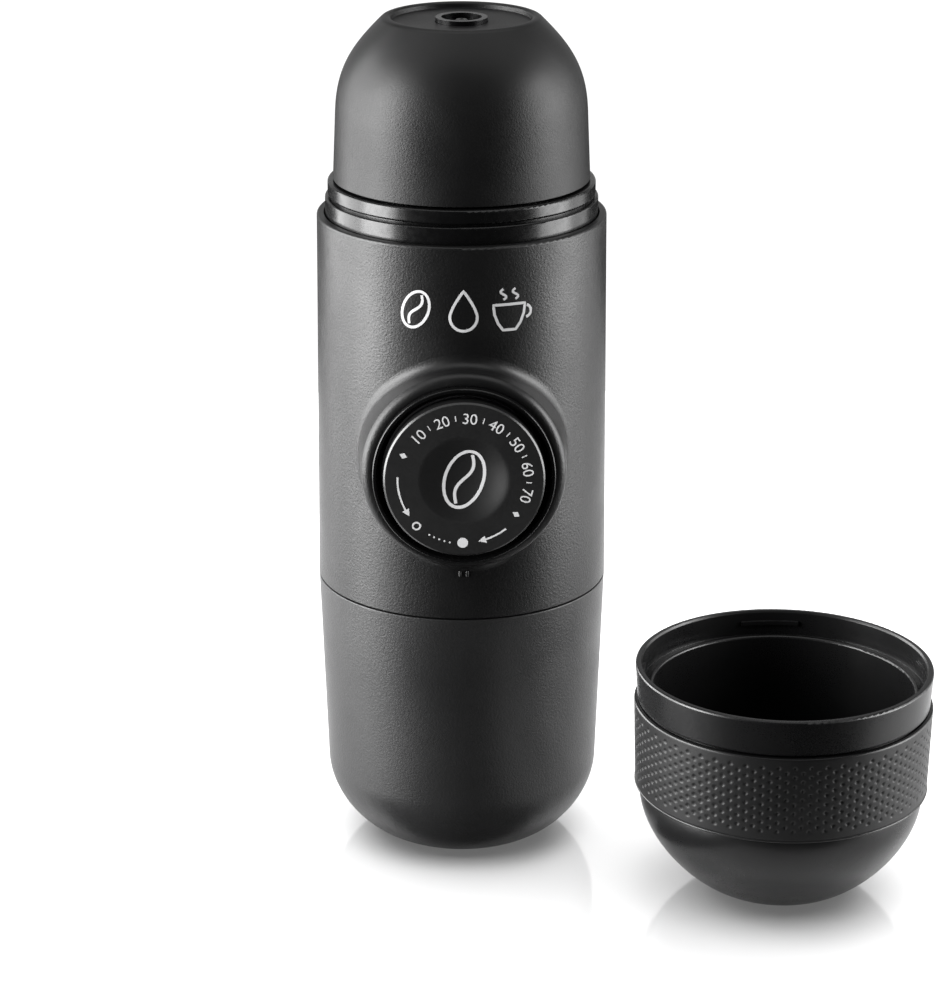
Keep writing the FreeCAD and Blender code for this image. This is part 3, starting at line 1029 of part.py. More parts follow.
PIECES = {
    "water_tank": water_tank, "tank_gasket": tank_gasket,
    "main_shell": main_shell, "bezel_ring": bezel_ring, "knob_guide": knob_guide,
    "pump_frame": pump_frame, "frame_screws": frame_screws,
    "pump_barrel": pump_barrel, "barrel_gland": barrel_gland, "rod_seal": rod_seal,
    "return_spring": return_spring, "piston_rod": piston_rod, "piston_head": piston_head,
    "piston_seals": piston_seals, "knob_screw": knob_screw,
    "knob_sleeve": knob_sleeve, "knob_cap": knob_cap,
    "valve_block": valve_block, "inlet_fitting": inlet_fitting, "inlet_strainer": inlet_strainer,
    "inlet_ball": lambda: ball(INLET_BALL_Z),
    "inlet_spring": lambda: valve_coil(spring_foot(INLET_BALL_Z), INLET_STOP_Z),
    "outlet_fitting": outlet_fitting,
    "outlet_ball": lambda: ball(OUTLET_BALL_Z),
    "outlet_spring": lambda: valve_coil(spring_foot(OUTLET_BALL_Z), OUTLET_STOP_Z),
    "vent_tube": vent_tube, "air_valve": air_valve,
    "group_collar": group_collar, "shower_plate": shower_plate, "shower_screw": shower_screw,
    "basket_gasket": basket_gasket, "filter_basket": filter_basket,
    "outlet_head": outlet_head, "head_core": head_core, "head_seal": head_seal,
    "outlet_screen": outlet_screen, "nozzle_spreader": nozzle_spreader,
    "cup_shell": cup_shell, "cup_grip": cup_grip,
}

os.makedirs("parts", exist_ok=True)
for name, make in PIECES.items():
    shape = make()
    shape.exportStep("parts/" + name + ".step")
    print(name, "solids", len(shape.Solids), "volume", round(shape.Volume, 1), "valid", shape.isValid())
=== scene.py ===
# %% [markdown]
# # A handheld espresso maker, dressed for a product picture
# This lesson takes a finished CAD model of a hand-pumped espresso maker and its cup, and makes it
# look like the real thing: moulded plastic with a fine grain, a printed pump knob, a rubber band
# with hundreds of dimples, screw threads that show when the machine is opened, and soft studio
# light. The CAD pieces are never moved or changed. They get better finishes, and Blender adds
# what is too fine for CAD. Blender counts in metres. A name that ends in _mm holds millimetres,
# and so do the flat drawings; both are multiplied by MM.

# %% Load the frame
import math

import bpy
import bmesh
from mathutils import Matrix, Vector
from mathutils.bvhtree import BVHTree


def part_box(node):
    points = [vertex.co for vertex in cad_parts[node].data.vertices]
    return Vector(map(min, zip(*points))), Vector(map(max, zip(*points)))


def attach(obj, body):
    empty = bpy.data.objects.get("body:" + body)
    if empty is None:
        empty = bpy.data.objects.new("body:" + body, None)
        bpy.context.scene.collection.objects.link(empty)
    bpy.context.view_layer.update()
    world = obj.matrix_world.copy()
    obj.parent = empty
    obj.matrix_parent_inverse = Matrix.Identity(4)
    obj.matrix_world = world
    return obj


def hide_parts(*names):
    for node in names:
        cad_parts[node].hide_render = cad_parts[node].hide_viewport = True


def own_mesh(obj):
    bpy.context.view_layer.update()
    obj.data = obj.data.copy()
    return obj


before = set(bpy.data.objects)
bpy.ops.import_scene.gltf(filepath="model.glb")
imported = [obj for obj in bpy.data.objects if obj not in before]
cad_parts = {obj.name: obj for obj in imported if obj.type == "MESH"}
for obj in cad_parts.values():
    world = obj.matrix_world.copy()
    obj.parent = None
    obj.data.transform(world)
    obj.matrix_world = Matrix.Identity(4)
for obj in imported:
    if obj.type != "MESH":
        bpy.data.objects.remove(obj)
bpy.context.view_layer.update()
MM = 0.001
scene = bpy.context.scene

# %% [markdown]
# ## Places that everything else is measured from
# The CAD boxes say where each node is, so no place is typed twice. The knob's face looks towards
# -Y, the brewing end is up, and the cup stands at the right.

# %% Read places from the CAD
knob_low, knob_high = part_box("knob_cap")
knob_z = (knob_low.z + knob_high.z) / 2
grip_low, grip_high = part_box("cup_grip")
cup_centre = (grip_low + grip_high) / 2
grip_r = (grip_high.x - grip_low.x) / 2
tank_top_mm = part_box("water_tank")[1].z / MM
neck_floor_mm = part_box("pump_frame")[0].z / MM
group_top_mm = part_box("group_collar")[1].z / MM
core_floor_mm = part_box("head_core")[0].z / MM
casing_r_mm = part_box("main_shell")[1].x / MM
print("knob axis %.1f mm up, casing radius %.1f mm" % (knob_z / MM, casing_r_mm))
print("grip radius %.2f mm, from %.2f" % (grip_r / MM, grip_low.z / MM),
      "to %.2f mm" % (grip_high.z / MM))

# %% [markdown]
# ## Node helpers
# Every finish below is a small tree of shader nodes, and the dimples are one of geometry nodes.
# Three helpers keep both kinds short: `fill` links or sets one input, `add` makes a node and
# fills its inputs, and `maths` does one step of arithmetic. A plain number goes straight on the
# node's own socket, because exporters read it from there.

# %% Helpers for node trees
def fill(tree, socket, value):
    """Link a socket to another, or give it a plain value."""
    if isinstance(value, bpy.types.NodeSocket):
        tree.links.new(value, socket)
    else:
        socket.default_value = value


def add(tree, kind, options=None, **inputs):
    """Add one node. Options are its menus; inputs are named with _ for a space."""
    made = tree.nodes.new(kind)
    for key, value in (options or {}).items():
        setattr(made, key, value)
    for key, value in inputs.items():
        fill(tree, made.inputs[key.replace("_", " ")], value)
    return made


def maths(tree, operation, *values):
    """One arithmetic step between sockets or numbers."""
    made = tree.nodes.new("ShaderNodeMath")
    made.operation = operation
    for place, value in enumerate(values):
        fill(tree, made.inputs[place], value)
    return made.outputs[0]


# %% [markdown]
# ## What every finish is mixed from
# Real surfaces are never even. `noise` gives lumps of a chosen size, `ramp` turns a lump's value
# into a roughness or a share, and `tinted` lets a colour drift a little. Noise mostly stays
# between 0.3 and 0.7, so `ramp` reads that range unless it is told another.

# %% Helpers for finishes
def ramp(tree, factor, low, high, start=0.3, stop=0.7):
    """Blend between two numbers as a factor goes from start to stop."""
    return add(tree, "ShaderNodeMapRange", {"clamp": True}, Value=factor, From_Min=start,
               From_Max=stop, To_Min=low, To_Max=high).outputs[0]


def noise(tree, where, grain_mm, detail=2.0, roughness=0.5, distortion=0.0):
    """Noise whose lumps are about grain_mm across."""
    return add(tree, "ShaderNodeTexNoise", Vector=where, Scale=1.0 / (grain_mm * MM),
               Detail=detail, Roughness=roughness, Distortion=distortion).outputs[0]


def mixed(tree, factor, first, second):
    """Blend two colours. Each is a socket or three numbers."""
    mix = add(tree, "ShaderNodeMix", {"data_type": "RGBA"})
    fill(tree, mix.inputs["Factor"], factor)
    for socket, colour in ((mix.inputs["A"], first), (mix.inputs["B"], second)):
        linked = isinstance(colour, bpy.types.NodeSocket)
        fill(tree, socket, colour if linked else (*[min(1, c) for c in colour], 1))
    return mix.outputs["Result"]


def tinted(tree, colour, spread, factor):
    """A colour that drifts a little lighter and darker."""
    return mixed(tree, factor, [c * (1 - spread) for c in colour],
                 [c * (1 + spread) for c in colour])


def new_finish(name):
    """A material with its tree, its shader and its Object coordinates."""
    finish = bpy.data.materials.new(name)
    finish.use_nodes = True
    tree = finish.node_tree
    where = add(tree, "ShaderNodeTexCoord").outputs["Object"]
    return finish, tree, tree.nodes["Principled BSDF"], where


# %% [markdown]
# ## Moulded plastic
# The casing, tank and dome are injection moulded in a charcoal plastic. The mould is etched, so
# the surface has a very fine grain that spreads reflections into broad soft bands. Handling
# polishes it a little, in large cloudy patches and along edges. One recipe makes all such
# plastics: a fine noise for the grain's bump, a broad noise for the polish, and a Bevel node that
# finds the edges. The Bevel node gives the normal of a rounded surface: where that differs from
# the real one, there is an edge. The mould's etching stops short of a rim that faces up, so
# `smooth_rims` fades the grain out there. Rubber is moulded too, and uses the same recipe.

# %% Recipe for plastics and rubbers
wear_starts, wear_is_full = 0.97, 0.80      # how alike the rounded and the real normal are
cloud_mm = 22.0                             # size of the patches that hands have polished
edge_polish, rubbed_polish = 0.12, 0.3      # how much roughness an edge or a rubbed place loses


def edge_mask(tree, radius):
    """0 on flat places and up to 1 on edges, and the rounded normal."""
    round_normal = add(tree, "ShaderNodeBevel", {"samples": 6}, Radius=radius).outputs[0]
    true_normal = add(tree, "ShaderNodeNewGeometry").outputs["Normal"]
    likeness = add(tree, "ShaderNodeVectorMath", {"operation": "DOT_PRODUCT"})
    tree.links.new(round_normal, likeness.inputs[0])
    tree.links.new(true_normal, likeness.inputs[1])
    worn = ramp(tree, likeness.outputs["Value"], 0.0, 1.0, wear_starts, wear_is_full)
    return worn, round_normal


def moulded(name, colour, gloss, grain_mm=0.35, grain_depth_mm=0.012, polish=0.06, wear=0.5,
            edge_mm=0.14, specular=0.3, shine="", smooth_rims=False):
    """A moulded plastic or rubber. gloss is the shader's roughness on untouched surface."""
    finish, tree, shader, where = new_finish(name)
    edges, round_normal = edge_mask(tree, edge_mm * MM)
    clouds = noise(tree, where, cloud_mm, 3.0, 0.55, 0.4)
    grain = noise(tree, where, grain_mm, 3.0, 0.66)
    specks = noise(tree, where, grain_mm * 0.45, 1.0)
    worn = maths(tree, "MULTIPLY", edges, ramp(tree, clouds, 0.25, 1.0, 0.35, 0.65))

    # colour: a faint drift, and a lighter tone where edges are worn
    worn_colour = [c * 1.7 + 0.01 for c in colour]
    base = mixed(tree, maths(tree, "MULTIPLY", worn, wear), tinted(tree, colour, 0.10, clouds),
                 worn_colour)
    tree.links.new(base, shader.inputs["Base Color"])

    # roughness: cloudy polish, fine specks, and smoother edges and rubbed places
    smooth = maths(tree, "ADD", ramp(tree, clouds, gloss + polish, gloss - polish),
                   ramp(tree, specks, -0.03, 0.03))
    rough = maths(tree, "SUBTRACT", smooth, maths(tree, "MULTIPLY", worn, edge_polish))
    if shine:
        rubbed = add(tree, "ShaderNodeAttribute", {"attribute_name": shine}).outputs["Fac"]
        rough = maths(tree, "SUBTRACT", rough, maths(tree, "MULTIPLY", rubbed, rubbed_polish))
    tree.links.new(rough, shader.inputs["Roughness"])

    # bump: the mould's grain, over the rounded normal
    if smooth_rims:
        normal = add(tree, "ShaderNodeNewGeometry").outputs["True Normal"]
        facing_up = add(tree, "ShaderNodeSeparateXYZ", Vector=normal).outputs["Z"]
        grain = maths(tree, "MULTIPLY", grain, ramp(tree, facing_up, 1.0, 0.0, 0.2, 0.5))
    bump = add(tree, "ShaderNodeBump", Strength=1.0, Distance=grain_depth_mm * MM,
               Height=grain, Normal=round_normal)
    tree.links.new(bump.outputs[0], shader.inputs["Normal"])
    shader.inputs["Specular IOR Level"].default_value = specular
    return finish


# %% [markdown]
# ## Steel, clear tube and ink
# The screws, basket and springs are stainless steel: turned or pressed metal has faint brush
# lines, so its noise is stretched flat across the axis. The vent tube is a milky clear plastic.
# The markings are screen printed in a light grey ink, slightly uneven where the screen let less
# through.

# %% Recipes for metal, clear tube and ink
def steel(name, colour, gloss, line_mm=0.12):
    """Brushed stainless steel, with scratches round the object's own Z axis."""
    finish, tree, shader, where = new_finish(name)
    stretch = add(tree, "ShaderNodeMapping", Vector=where, Scale=(0.08, 0.08, 1.0))
    lines = noise(tree, stretch.outputs[0], line_mm, 2.0, 0.7)
    clouds = noise(tree, where, 6.0, 3.0)
    rough = maths(tree, "ADD", ramp(tree, lines, gloss - 0.06, gloss + 0.08),
                  ramp(tree, clouds, -0.04, 0.05))
    tree.links.new(tinted(tree, colour, 0.06, clouds), shader.inputs["Base Color"])
    tree.links.new(rough, shader.inputs["Roughness"])
    bump = add(tree, "ShaderNodeBump", Strength=0.5, Distance=0.004 * MM, Height=lines)
    tree.links.new(bump.outputs[0], shader.inputs["Normal"])
    shader.inputs["Metallic"].default_value = 1.0
    return finish


def clear_plastic(name):
    """Milky clear tube."""
    finish = moulded(name, (0.72, 0.74, 0.74), 0.22, grain_mm=1.5, grain_depth_mm=0.006,
                     wear=0.0)
    shader = finish.node_tree.nodes["Principled BSDF"]
    shader.inputs["Transmission Weight"].default_value = 0.75
    shader.inputs["IOR"].default_value = 1.43
    return finish


def ink(name, colour):
    """Screen-printed ink: flat, dry, and thinner in tiny spots."""
    return moulded(name, colour, 0.42, grain_mm=0.12, grain_depth_mm=0.003, polish=0.04,
                   wear=0.0, edge_mm=0.02)


# %% Mix the finishes
mixes = [
    moulded("tank_plastic", (0.0085, 0.0085, 0.0087), 0.41, grain_mm=0.46,
            grain_depth_mm=0.066, specular=0.38),
    moulded("casing_plastic", (0.0024, 0.0024, 0.0025), 0.39, grain_mm=0.46,
            grain_depth_mm=0.066, specular=0.32, smooth_rims=True),
    moulded("dome_plastic", (0.0024, 0.0024, 0.0025), 0.44, grain_mm=0.40,
            grain_depth_mm=0.060, specular=0.22, smooth_rims=True),
    moulded("gloss_black", (0.0020, 0.0020, 0.0021), 0.25, grain_mm=2.5, grain_depth_mm=0.006,
            polish=0.03, wear=0.15, edge_mm=0.08, specular=0.28),
    moulded("knob_black", (0.0045, 0.0045, 0.0046), 0.34, grain_mm=0.8, grain_depth_mm=0.006,
            polish=0.04, wear=0.4, specular=0.5),
    moulded("frame_plastic", (0.010, 0.010, 0.011), 0.50, grain_mm=0.5),
    moulded("barrel_plastic", (0.62, 0.61, 0.57), 0.34, grain_mm=0.9, grain_depth_mm=0.006,
            wear=0.2),
    steel("steel", (0.60, 0.59, 0.57), 0.27),
    steel("spring_steel", (0.42, 0.41, 0.40), 0.32, line_mm=0.3),
    moulded("seal_rubber", (0.012, 0.012, 0.011), 0.62, grain_mm=0.25, grain_depth_mm=0.010,
            wear=0.3),
    clear_plastic("clear_tube"),
    moulded("cup_plastic", (0.0024, 0.0024, 0.0025), 0.31, grain_mm=0.6, grain_depth_mm=0.010,
            polish=0.05, specular=0.23),
    moulded("grip_rubber", (0.0026, 0.0026, 0.0027), 0.44, grain_mm=0.22,
            grain_depth_mm=0.010, polish=0.05, wear=0.5, specular=0.19, shine="rubbed"),
    ink("marking_ink", (0.48, 0.48, 0.485))]
finishes = {finish.name.split(".")[0]: finish for finish in mixes}
print("finishes", len(finishes))

# %% [markdown]
# ## Dress the CAD nodes
# The record says which finish each node has. The imported materials are flat placeholders, so
# each one is swapped for the finish of the same name, in the slot that the node already has.
# Blender adds .001 to a name that is taken, so only the part before the dot is compared.

# %% Swap the placeholder materials
dressed = 0
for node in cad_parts.values():
    for slot in node.material_slots:
        slot.material = finishes[slot.material.name.split(".")[0]]
        dressed += 1
print("slots dressed", dressed)

# %% [markdown]
# ## Geometry Nodes helpers
# What repeats is made by a Geometry Nodes tree with named sizes: the dimples in the grip, the
# screw threads and the springs. The tree runs once on an empty mesh. Its result is copied to a
# plain mesh, because instances and live modifiers don't survive an export.

# %% Helpers for Geometry Nodes
def size_tree(name, sizes):
    """A Geometry Nodes tree with one named input for each size."""
    tree = bpy.data.node_groups.new(name, "GeometryNodeTree")
    tree.interface.new_socket("Geometry", in_out="OUTPUT", socket_type="NodeSocketGeometry")
    for label, kind in sizes:
        tree.interface.new_socket(label, in_out="INPUT", socket_type="NodeSocket" + kind)
    size = tree.nodes.new("NodeGroupInput").outputs
    return tree, size, tree.nodes.new("NodeGroupOutput").inputs[0]


def grow(tree, name, values):
    """Run a tree with these values and keep the result as a plain mesh piece."""
    seed = bpy.data.objects.new(name, bpy.data.meshes.new(name))
    scene.collection.objects.link(seed)
    modifier = seed.modifiers.new("grow", "NODES")
    modifier.node_group = tree
    for item in tree.interface.items_tree:
        if item.in_out == "INPUT":
            modifier[item.identifier] = values[item.name]
    graph = bpy.context.evaluated_depsgraph_get()
    grown = bpy.data.meshes.new_from_object(seed.evaluated_get(graph), depsgraph=graph)
    seed.modifiers.remove(modifier)
    seed.data = grown
    grown.name = name
    made = bmesh.new()
    made.from_mesh(grown)
    bmesh.ops.recalc_face_normals(made, faces=made.faces)
    open_edges = sum(1 for edge in made.edges if len(edge.link_faces) != 2)
    volume = made.calc_volume(signed=True) / MM ** 3
    made.to_mesh(grown)
    made.free()
    print(name, "faces", len(grown.polygons), "open edges", open_edges, "%.1f mm3" % volume)
    return seed


# %% [markdown]
# ## The dimpled grip
# A rubber band sits on the cup, so that wet fingers hold it. It is moulded with columns of small
# round dimples, and every other column stands half a step higher with one dimple fewer. Cutting
# hundreds of dimples with booleans would be slow and would leave ragged faces. A bump texture
# would be quick, but flat in a close view. So the tree starts from one grid, rolls it into a
# closed band, and pushes each point in by how near it is to the nearest dimple. The grid's
# columns crowd towards the dimples, where the detail is. The polish of handling is stored as an
# attribute on the same points: the raised edges are rubbed, the pits are not.

# %% Spread the grid's columns round the cup
crowding = -0.07       # how far grid columns move towards the dimples


def across_band(calc, size, column):
    """A column's angle, its distance from the nearest column of dimples, and if that is odd."""
    even = calc("DIVIDE", column, size["Fine"])
    crowd = calc("MULTIPLY", calc("SINE", calc("MULTIPLY", even, math.tau)), crowding)
    place = calc("ADD", even, crowd)
    nearest = calc("FLOOR", calc("ADD", place, 0.5))
    odd = calc("MODULO", nearest, 2.0)
    angle = calc("MULTIPLY", calc("DIVIDE", place, size["Columns"]), math.tau)
    girth = calc("MULTIPLY", size["High Radius"], math.tau)
    step = calc("DIVIDE", girth, size["Columns"])
    across = calc("MULTIPLY", calc("SUBTRACT", place, nearest), step)
    return angle, across, odd


# %% [markdown]
# ### One dimple
# A dimple is half an egg: its depth falls off like a circle from its middle to its rim. A point
# first finds which dimple of its column is nearest, and never one above the last or below the
# first, then how far away that is.

# %% Press in the dimples
def dimple_shape(calc, size, height, across, odd):
    """1 in the middle of the nearest dimple, falling to 0 at its rim and beyond."""
    pitches = calc("DIVIDE", calc("SUBTRACT", height, size["First"]), size["Pitch"])
    counted = calc("SUBTRACT", pitches, calc("MULTIPLY", odd, 0.5))
    most = calc("SUBTRACT", calc("SUBTRACT", size["Dimples"], 1.0), odd)
    which = calc("MINIMUM", calc("MAXIMUM", calc("ROUND", counted), 0.0), most)
    along = calc("MULTIPLY", calc("SUBTRACT", counted, which), size["Pitch"])
    away = calc("SQRT", calc("ADD", calc("MULTIPLY", across, across),
                             calc("MULTIPLY", along, along)))
    reach = calc("MINIMUM", calc("DIVIDE", away, size["Dimple Radius"]), 1.0)
    return calc("SQRT", calc("SUBTRACT", 1.0, calc("MULTIPLY", reach, reach)))


# %% [markdown]
# ### The band's section
# Seen from its end, the band is a thin strip with two rounded outer edges and a plain back. The
# grid's rows draw the outer side from the foot up. Three rows more go over the top, down the
# inside and back to the first row, and a weld closes the seams.

# %% Round the edges and close the back
def rounded_edge(calc, size, height):
    """How near an edge is, from 0 to 1, and how far the face bends in there."""
    to_edge = calc("MINIMUM", calc("SUBTRACT", height, size["Low"]),
                   calc("SUBTRACT", size["High"], height))
    near = calc("MAXIMUM", calc("SUBTRACT", 1.0, calc("DIVIDE", to_edge, size["Edge"])), 0.0)
    arc = calc("SQRT", calc("SUBTRACT", 1.0, calc("MULTIPLY", near, near)))
    return near, calc("MULTIPLY", calc("SUBTRACT", 1.0, arc), size["Edge"])


def closed_section(tree, calc, size, over, outer, height):
    """Radius and height once the last rows are bent round. over counts rows past the top."""
    def switched(when, value, other):
        return add(tree, "ShaderNodeMix", Factor=when, A=value, B=other).outputs[0]

    inside = calc("MULTIPLY", calc("GREATER_THAN", over, 0.5), calc("LESS_THAN", over, 2.5))
    low_again = calc("GREATER_THAN", over, 1.5)
    closing = calc("GREATER_THAN", over, 2.5)
    first_radius = calc("SUBTRACT", size["Low Radius"], size["Edge"])
    radius = switched(inside, outer, size["Inner Radius"])
    return switched(closing, radius, first_radius), switched(low_again, height, size["Low"])


# %% Build the dimpled band
weld = 0.001 * MM      # closer points than this become one


def grip_tree():
    tree, size, result = size_tree("dimpled_band", [
        ("Columns", "Int"), ("Fine", "Int"), ("Rows", "Int"), ("Low", "Float"),
        ("High", "Float"), ("Low Radius", "Float"), ("High Radius", "Float"),
        ("Inner Radius", "Float"), ("Edge", "Float"), ("First", "Float"), ("Pitch", "Float"),
        ("Dimples", "Int"), ("Dimple Radius", "Float"), ("Depth", "Float"),
        ("Centre", "Vector"), ("Finish", "Material")])

    def calc(operation, *values):
        return maths(tree, operation, *values)

    # a grid numbers its points up one column, then up the next
    around = calc("MULTIPLY", size["Columns"], size["Fine"])
    up = calc("ADD", size["Rows"], 3.0)
    sheet = add(tree, "GeometryNodeMeshGrid", Vertices_X=calc("ADD", around, 1.0), Vertices_Y=up)
    number = add(tree, "GeometryNodeInputIndex").outputs[0]
    column = calc("FLOOR", calc("DIVIDE", calc("ADD", number, 0.5), up))
    row = calc("SUBTRACT", number, calc("MULTIPLY", column, up))

    # each point's height, and the tapered face less the dimple and the bend of the edge
    last = calc("SUBTRACT", size["Rows"], 1.0)
    share = calc("MINIMUM", calc("DIVIDE", row, last), 1.0)
    height = add(tree, "ShaderNodeMapRange", Value=share, To_Min=size["Low"],
                 To_Max=size["High"]).outputs[0]
    face = add(tree, "ShaderNodeMapRange", Value=share, To_Min=size["Low Radius"],
               To_Max=size["High Radius"]).outputs[0]
    angle, across, odd = across_band(calc, size, column)
    bowl = dimple_shape(calc, size, height, across, odd)
    near, bend = rounded_edge(calc, size, height)
    pressed = calc("SUBTRACT", face, calc("MULTIPLY", bowl, size["Depth"]))
    outer = calc("SUBTRACT", pressed, bend)
    over = calc("SUBTRACT", row, last)
    radius, height = closed_section(tree, calc, size, over, outer, height)

    # roll the grid up, weld it shut, and finish it
    rolled = add(tree, "ShaderNodeCombineXYZ", Z=height,
                 X=calc("MULTIPLY", calc("COSINE", angle), radius),
                 Y=calc("MULTIPLY", calc("SINE", angle), radius))
    rubbed = add(tree, "GeometryNodeStoreNamedAttribute", Geometry=sheet.outputs[0],
                 Name="rubbed", Value=calc("SUBTRACT", near, bowl))
    band = add(tree, "GeometryNodeSetPosition", Geometry=rubbed.outputs[0],
               Position=rolled.outputs[0])
    closed = add(tree, "GeometryNodeMergeByDistance", Geometry=band.outputs[0], Distance=weld)
    soft = add(tree, "GeometryNodeSetShadeSmooth", Geometry=closed.outputs[0])
    moved = add(tree, "GeometryNodeTransform", Geometry=soft.outputs[0],
                Translation=size["Centre"])
    real = add(tree, "GeometryNodeRealizeInstances", Geometry=moved.outputs[0])
    done = add(tree, "GeometryNodeSetMaterial", Geometry=real.outputs[0],
               Material=size["Finish"])
    tree.links.new(done.outputs[0], result)
    return tree


# %% Grow the band
grip_taper = 0.5 * MM      # the band is this much narrower at its foot
grip_wall = 1.9 * MM
band = grow(grip_tree(), "dimpled_grip", {
    "Columns": 118, "Fine": 8, "Rows": 82, "Low": grip_low.z, "High": grip_high.z,
    "Low Radius": grip_r - grip_taper, "High Radius": grip_r,
    "Inner Radius": grip_r - grip_wall, "Edge": 0.35 * MM, "First": grip_low.z + 2.14 * MM,
    "Pitch": 1.94 * MM, "Dimples": 8, "Dimple Radius": 0.38 * MM, "Depth": 0.22 * MM,
    "Centre": Vector((cup_centre.x, cup_centre.y, 0)), "Finish": finishes["grip_rubber"]})
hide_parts("cup_grip")
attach(band, "cup")

# %% [markdown]
# ## The edge that the rubber ends on
# The band is moulded on to the finished cup, and the mould shuts against a fine bead of the
# cup's own glossy plastic. That bead draws a thin bright line under the rubber. It is a small
# ring swept round the cup: a circle of points for its section, copied round in even steps and
# joined by faces.

# %% Sweep the bead
bead_steps, bead_sides = 160, 8
bead_wire = 0.24 * MM
bead_r = grip_r - grip_taper - 0.10 * MM
bead_points = []
for k in range(bead_steps):
    a = math.tau * k / bead_steps
    for j in range(bead_sides):
        b = math.tau * j / bead_sides
        out = bead_r + bead_wire * math.cos(b)
        bead_points.append((cup_centre.x + out * math.cos(a), cup_centre.y + out * math.sin(a),
                            grip_low.z + bead_wire * math.sin(b)))
bead_faces = []
for k in range(bead_steps):
    here, onward = k * bead_sides, (k + 1) % bead_steps * bead_sides
    for j in range(bead_sides):
        next_j = (j + 1) % bead_sides
        bead_faces.append((here + j, onward + j, onward + next_j, here + next_j))
bead_mesh = bpy.data.meshes.new("grip_foot_bead")
bead_mesh.from_pydata(bead_points, [], bead_faces)
bead_mesh.polygons.foreach_set("use_smooth", [True] * len(bead_mesh.polygons))
bead_mesh.materials.append(finishes["cup_plastic"])
bead = bpy.data.objects.new("grip_foot_bead", bead_mesh)
scene.collection.objects.link(bead)
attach(bead, "cup")
print("bead faces", len(bead_mesh.polygons))

# %% [markdown]
# ## Screw threads
# The tank screws on the frame's neck, and the outlet head on the group's neck. On the real
# machine these are coarse moulded threads with rounded crests and several starts, so that less
# than a turn closes them. A thread is one ridge swept along a helix: a Spiral curve gives the
# helix, Curve to Mesh gives it a section, and instances turned round the axis give the other
# starts.

# %% Build the thread tree
def thread_tree():
    tree, size, result = size_tree("thread", [
        ("Radius", "Float"), ("Low", "Float"), ("Rise", "Float"), ("Turns", "Float"),
        ("Starts", "Int"), ("Ridge", "Float"), ("Flatness", "Float"), ("Finish", "Material")])
    helix = add(tree, "GeometryNodeCurveSpiral", Resolution=72, Rotations=size["Turns"],
                Start_Radius=size["Radius"], End_Radius=size["Radius"], Height=size["Rise"])
    section = add(tree, "GeometryNodeCurvePrimitiveCircle", Resolution=10,
                  Radius=size["Ridge"])
    flat = add(tree, "ShaderNodeCombineXYZ", X=size["Flatness"], Y=1.0, Z=1.0)
    squeezed = add(tree, "GeometryNodeTransform", Geometry=section.outputs[0],
                   Scale=flat.outputs[0])
    ridge = add(tree, "GeometryNodeCurveToMesh", Curve=helix.outputs[0],
                Profile_Curve=squeezed.outputs[0], Fill_Caps=True)
    starts = add(tree, "GeometryNodePoints", Count=size["Starts"])
    turn = maths(tree, "MULTIPLY", add(tree, "GeometryNodeInputIndex").outputs[0],
                 maths(tree, "DIVIDE", math.tau, size["Starts"]))
    angles = add(tree, "ShaderNodeCombineXYZ", Z=turn)
    spin = add(tree, "FunctionNodeEulerToRotation", Euler=angles.outputs[0])
    copies = add(tree, "GeometryNodeInstanceOnPoints", Points=starts.outputs[0],
                 Instance=ridge.outputs[0], Rotation=spin.outputs[0])
    real = add(tree, "GeometryNodeRealizeInstances", Geometry=copies.outputs[0])
    lift = add(tree, "ShaderNodeCombineXYZ", Z=size["Low"])
    moved = add(tree, "GeometryNodeTransform", Geometry=real.outputs[0],
                Translation=lift.outputs[0])
    soft = add(tree, "GeometryNodeSetShadeSmooth", Geometry=moved.outputs[0])
    done = add(tree, "GeometryNodeSetMaterial", Geometry=soft.outputs[0],
               Material=size["Finish"])
    tree.links.new(done.outputs[0], result)
    return tree


# %% Grow the four threads
thread = thread_tree()
neck_r_mm, neck_gap_mm = 27.15, 0.35      # the frame's neck, and the room to the tank's mouth
group_r_mm, group_gap_mm = 22.4, 0.3      # the group's neck, and the room to the head's core
sunk_mm = 0.12                            # how deep a ridge's middle lies in its wall
above_floor_mm = 1.2                      # where the ridges start on the neck and the core
below_tank_top_mm, below_group_top_mm = 8.2, 6.6      # and where under the two open ends
tank_ridges = {"rise_mm": 5.6, "turns": 0.8, "starts": 3, "ridge_mm": 0.55, "flatness": 0.5}
head_ridges = {"rise_mm": 4.6, "turns": 0.8, "starts": 3, "ridge_mm": 0.55, "flatness": 0.45}


def screw_thread(name, body, slot, radius_mm, low_mm, rise_mm, turns, starts, ridge_mm, flatness):
    """One set of ridges round the machine's axis."""
    piece = grow(thread, name, {
        "Radius": radius_mm * MM, "Low": low_mm * MM, "Rise": rise_mm * MM, "Turns": turns,
        "Starts": starts, "Ridge": ridge_mm * MM, "Flatness": flatness,
        "Finish": finishes[slot]})
    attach(piece, body)


screw_thread("tank_neck_thread", "main_body", "frame_plastic", neck_r_mm - sunk_mm,
             neck_floor_mm + above_floor_mm, **tank_ridges)
screw_thread("tank_mouth_thread", "tank", "tank_plastic", neck_r_mm + neck_gap_mm + sunk_mm,
             tank_top_mm - below_tank_top_mm, **tank_ridges)
screw_thread("group_neck_thread", "main_body", "gloss_black", group_r_mm - sunk_mm,
             group_top_mm - below_group_top_mm, **head_ridges)
screw_thread("head_thread", "head", "frame_plastic", group_r_mm + group_gap_mm + sunk_mm,
             core_floor_mm + above_floor_mm, **head_ridges)

# %% [markdown]
# ## Springs
# The pump has three compression springs: one pushes the knob out, and a tiny one holds each
# valve's ball on its seat. A real spring is one length of round wire, so each is grown with the
# same tree as the threads, with one start, a round section and several turns.


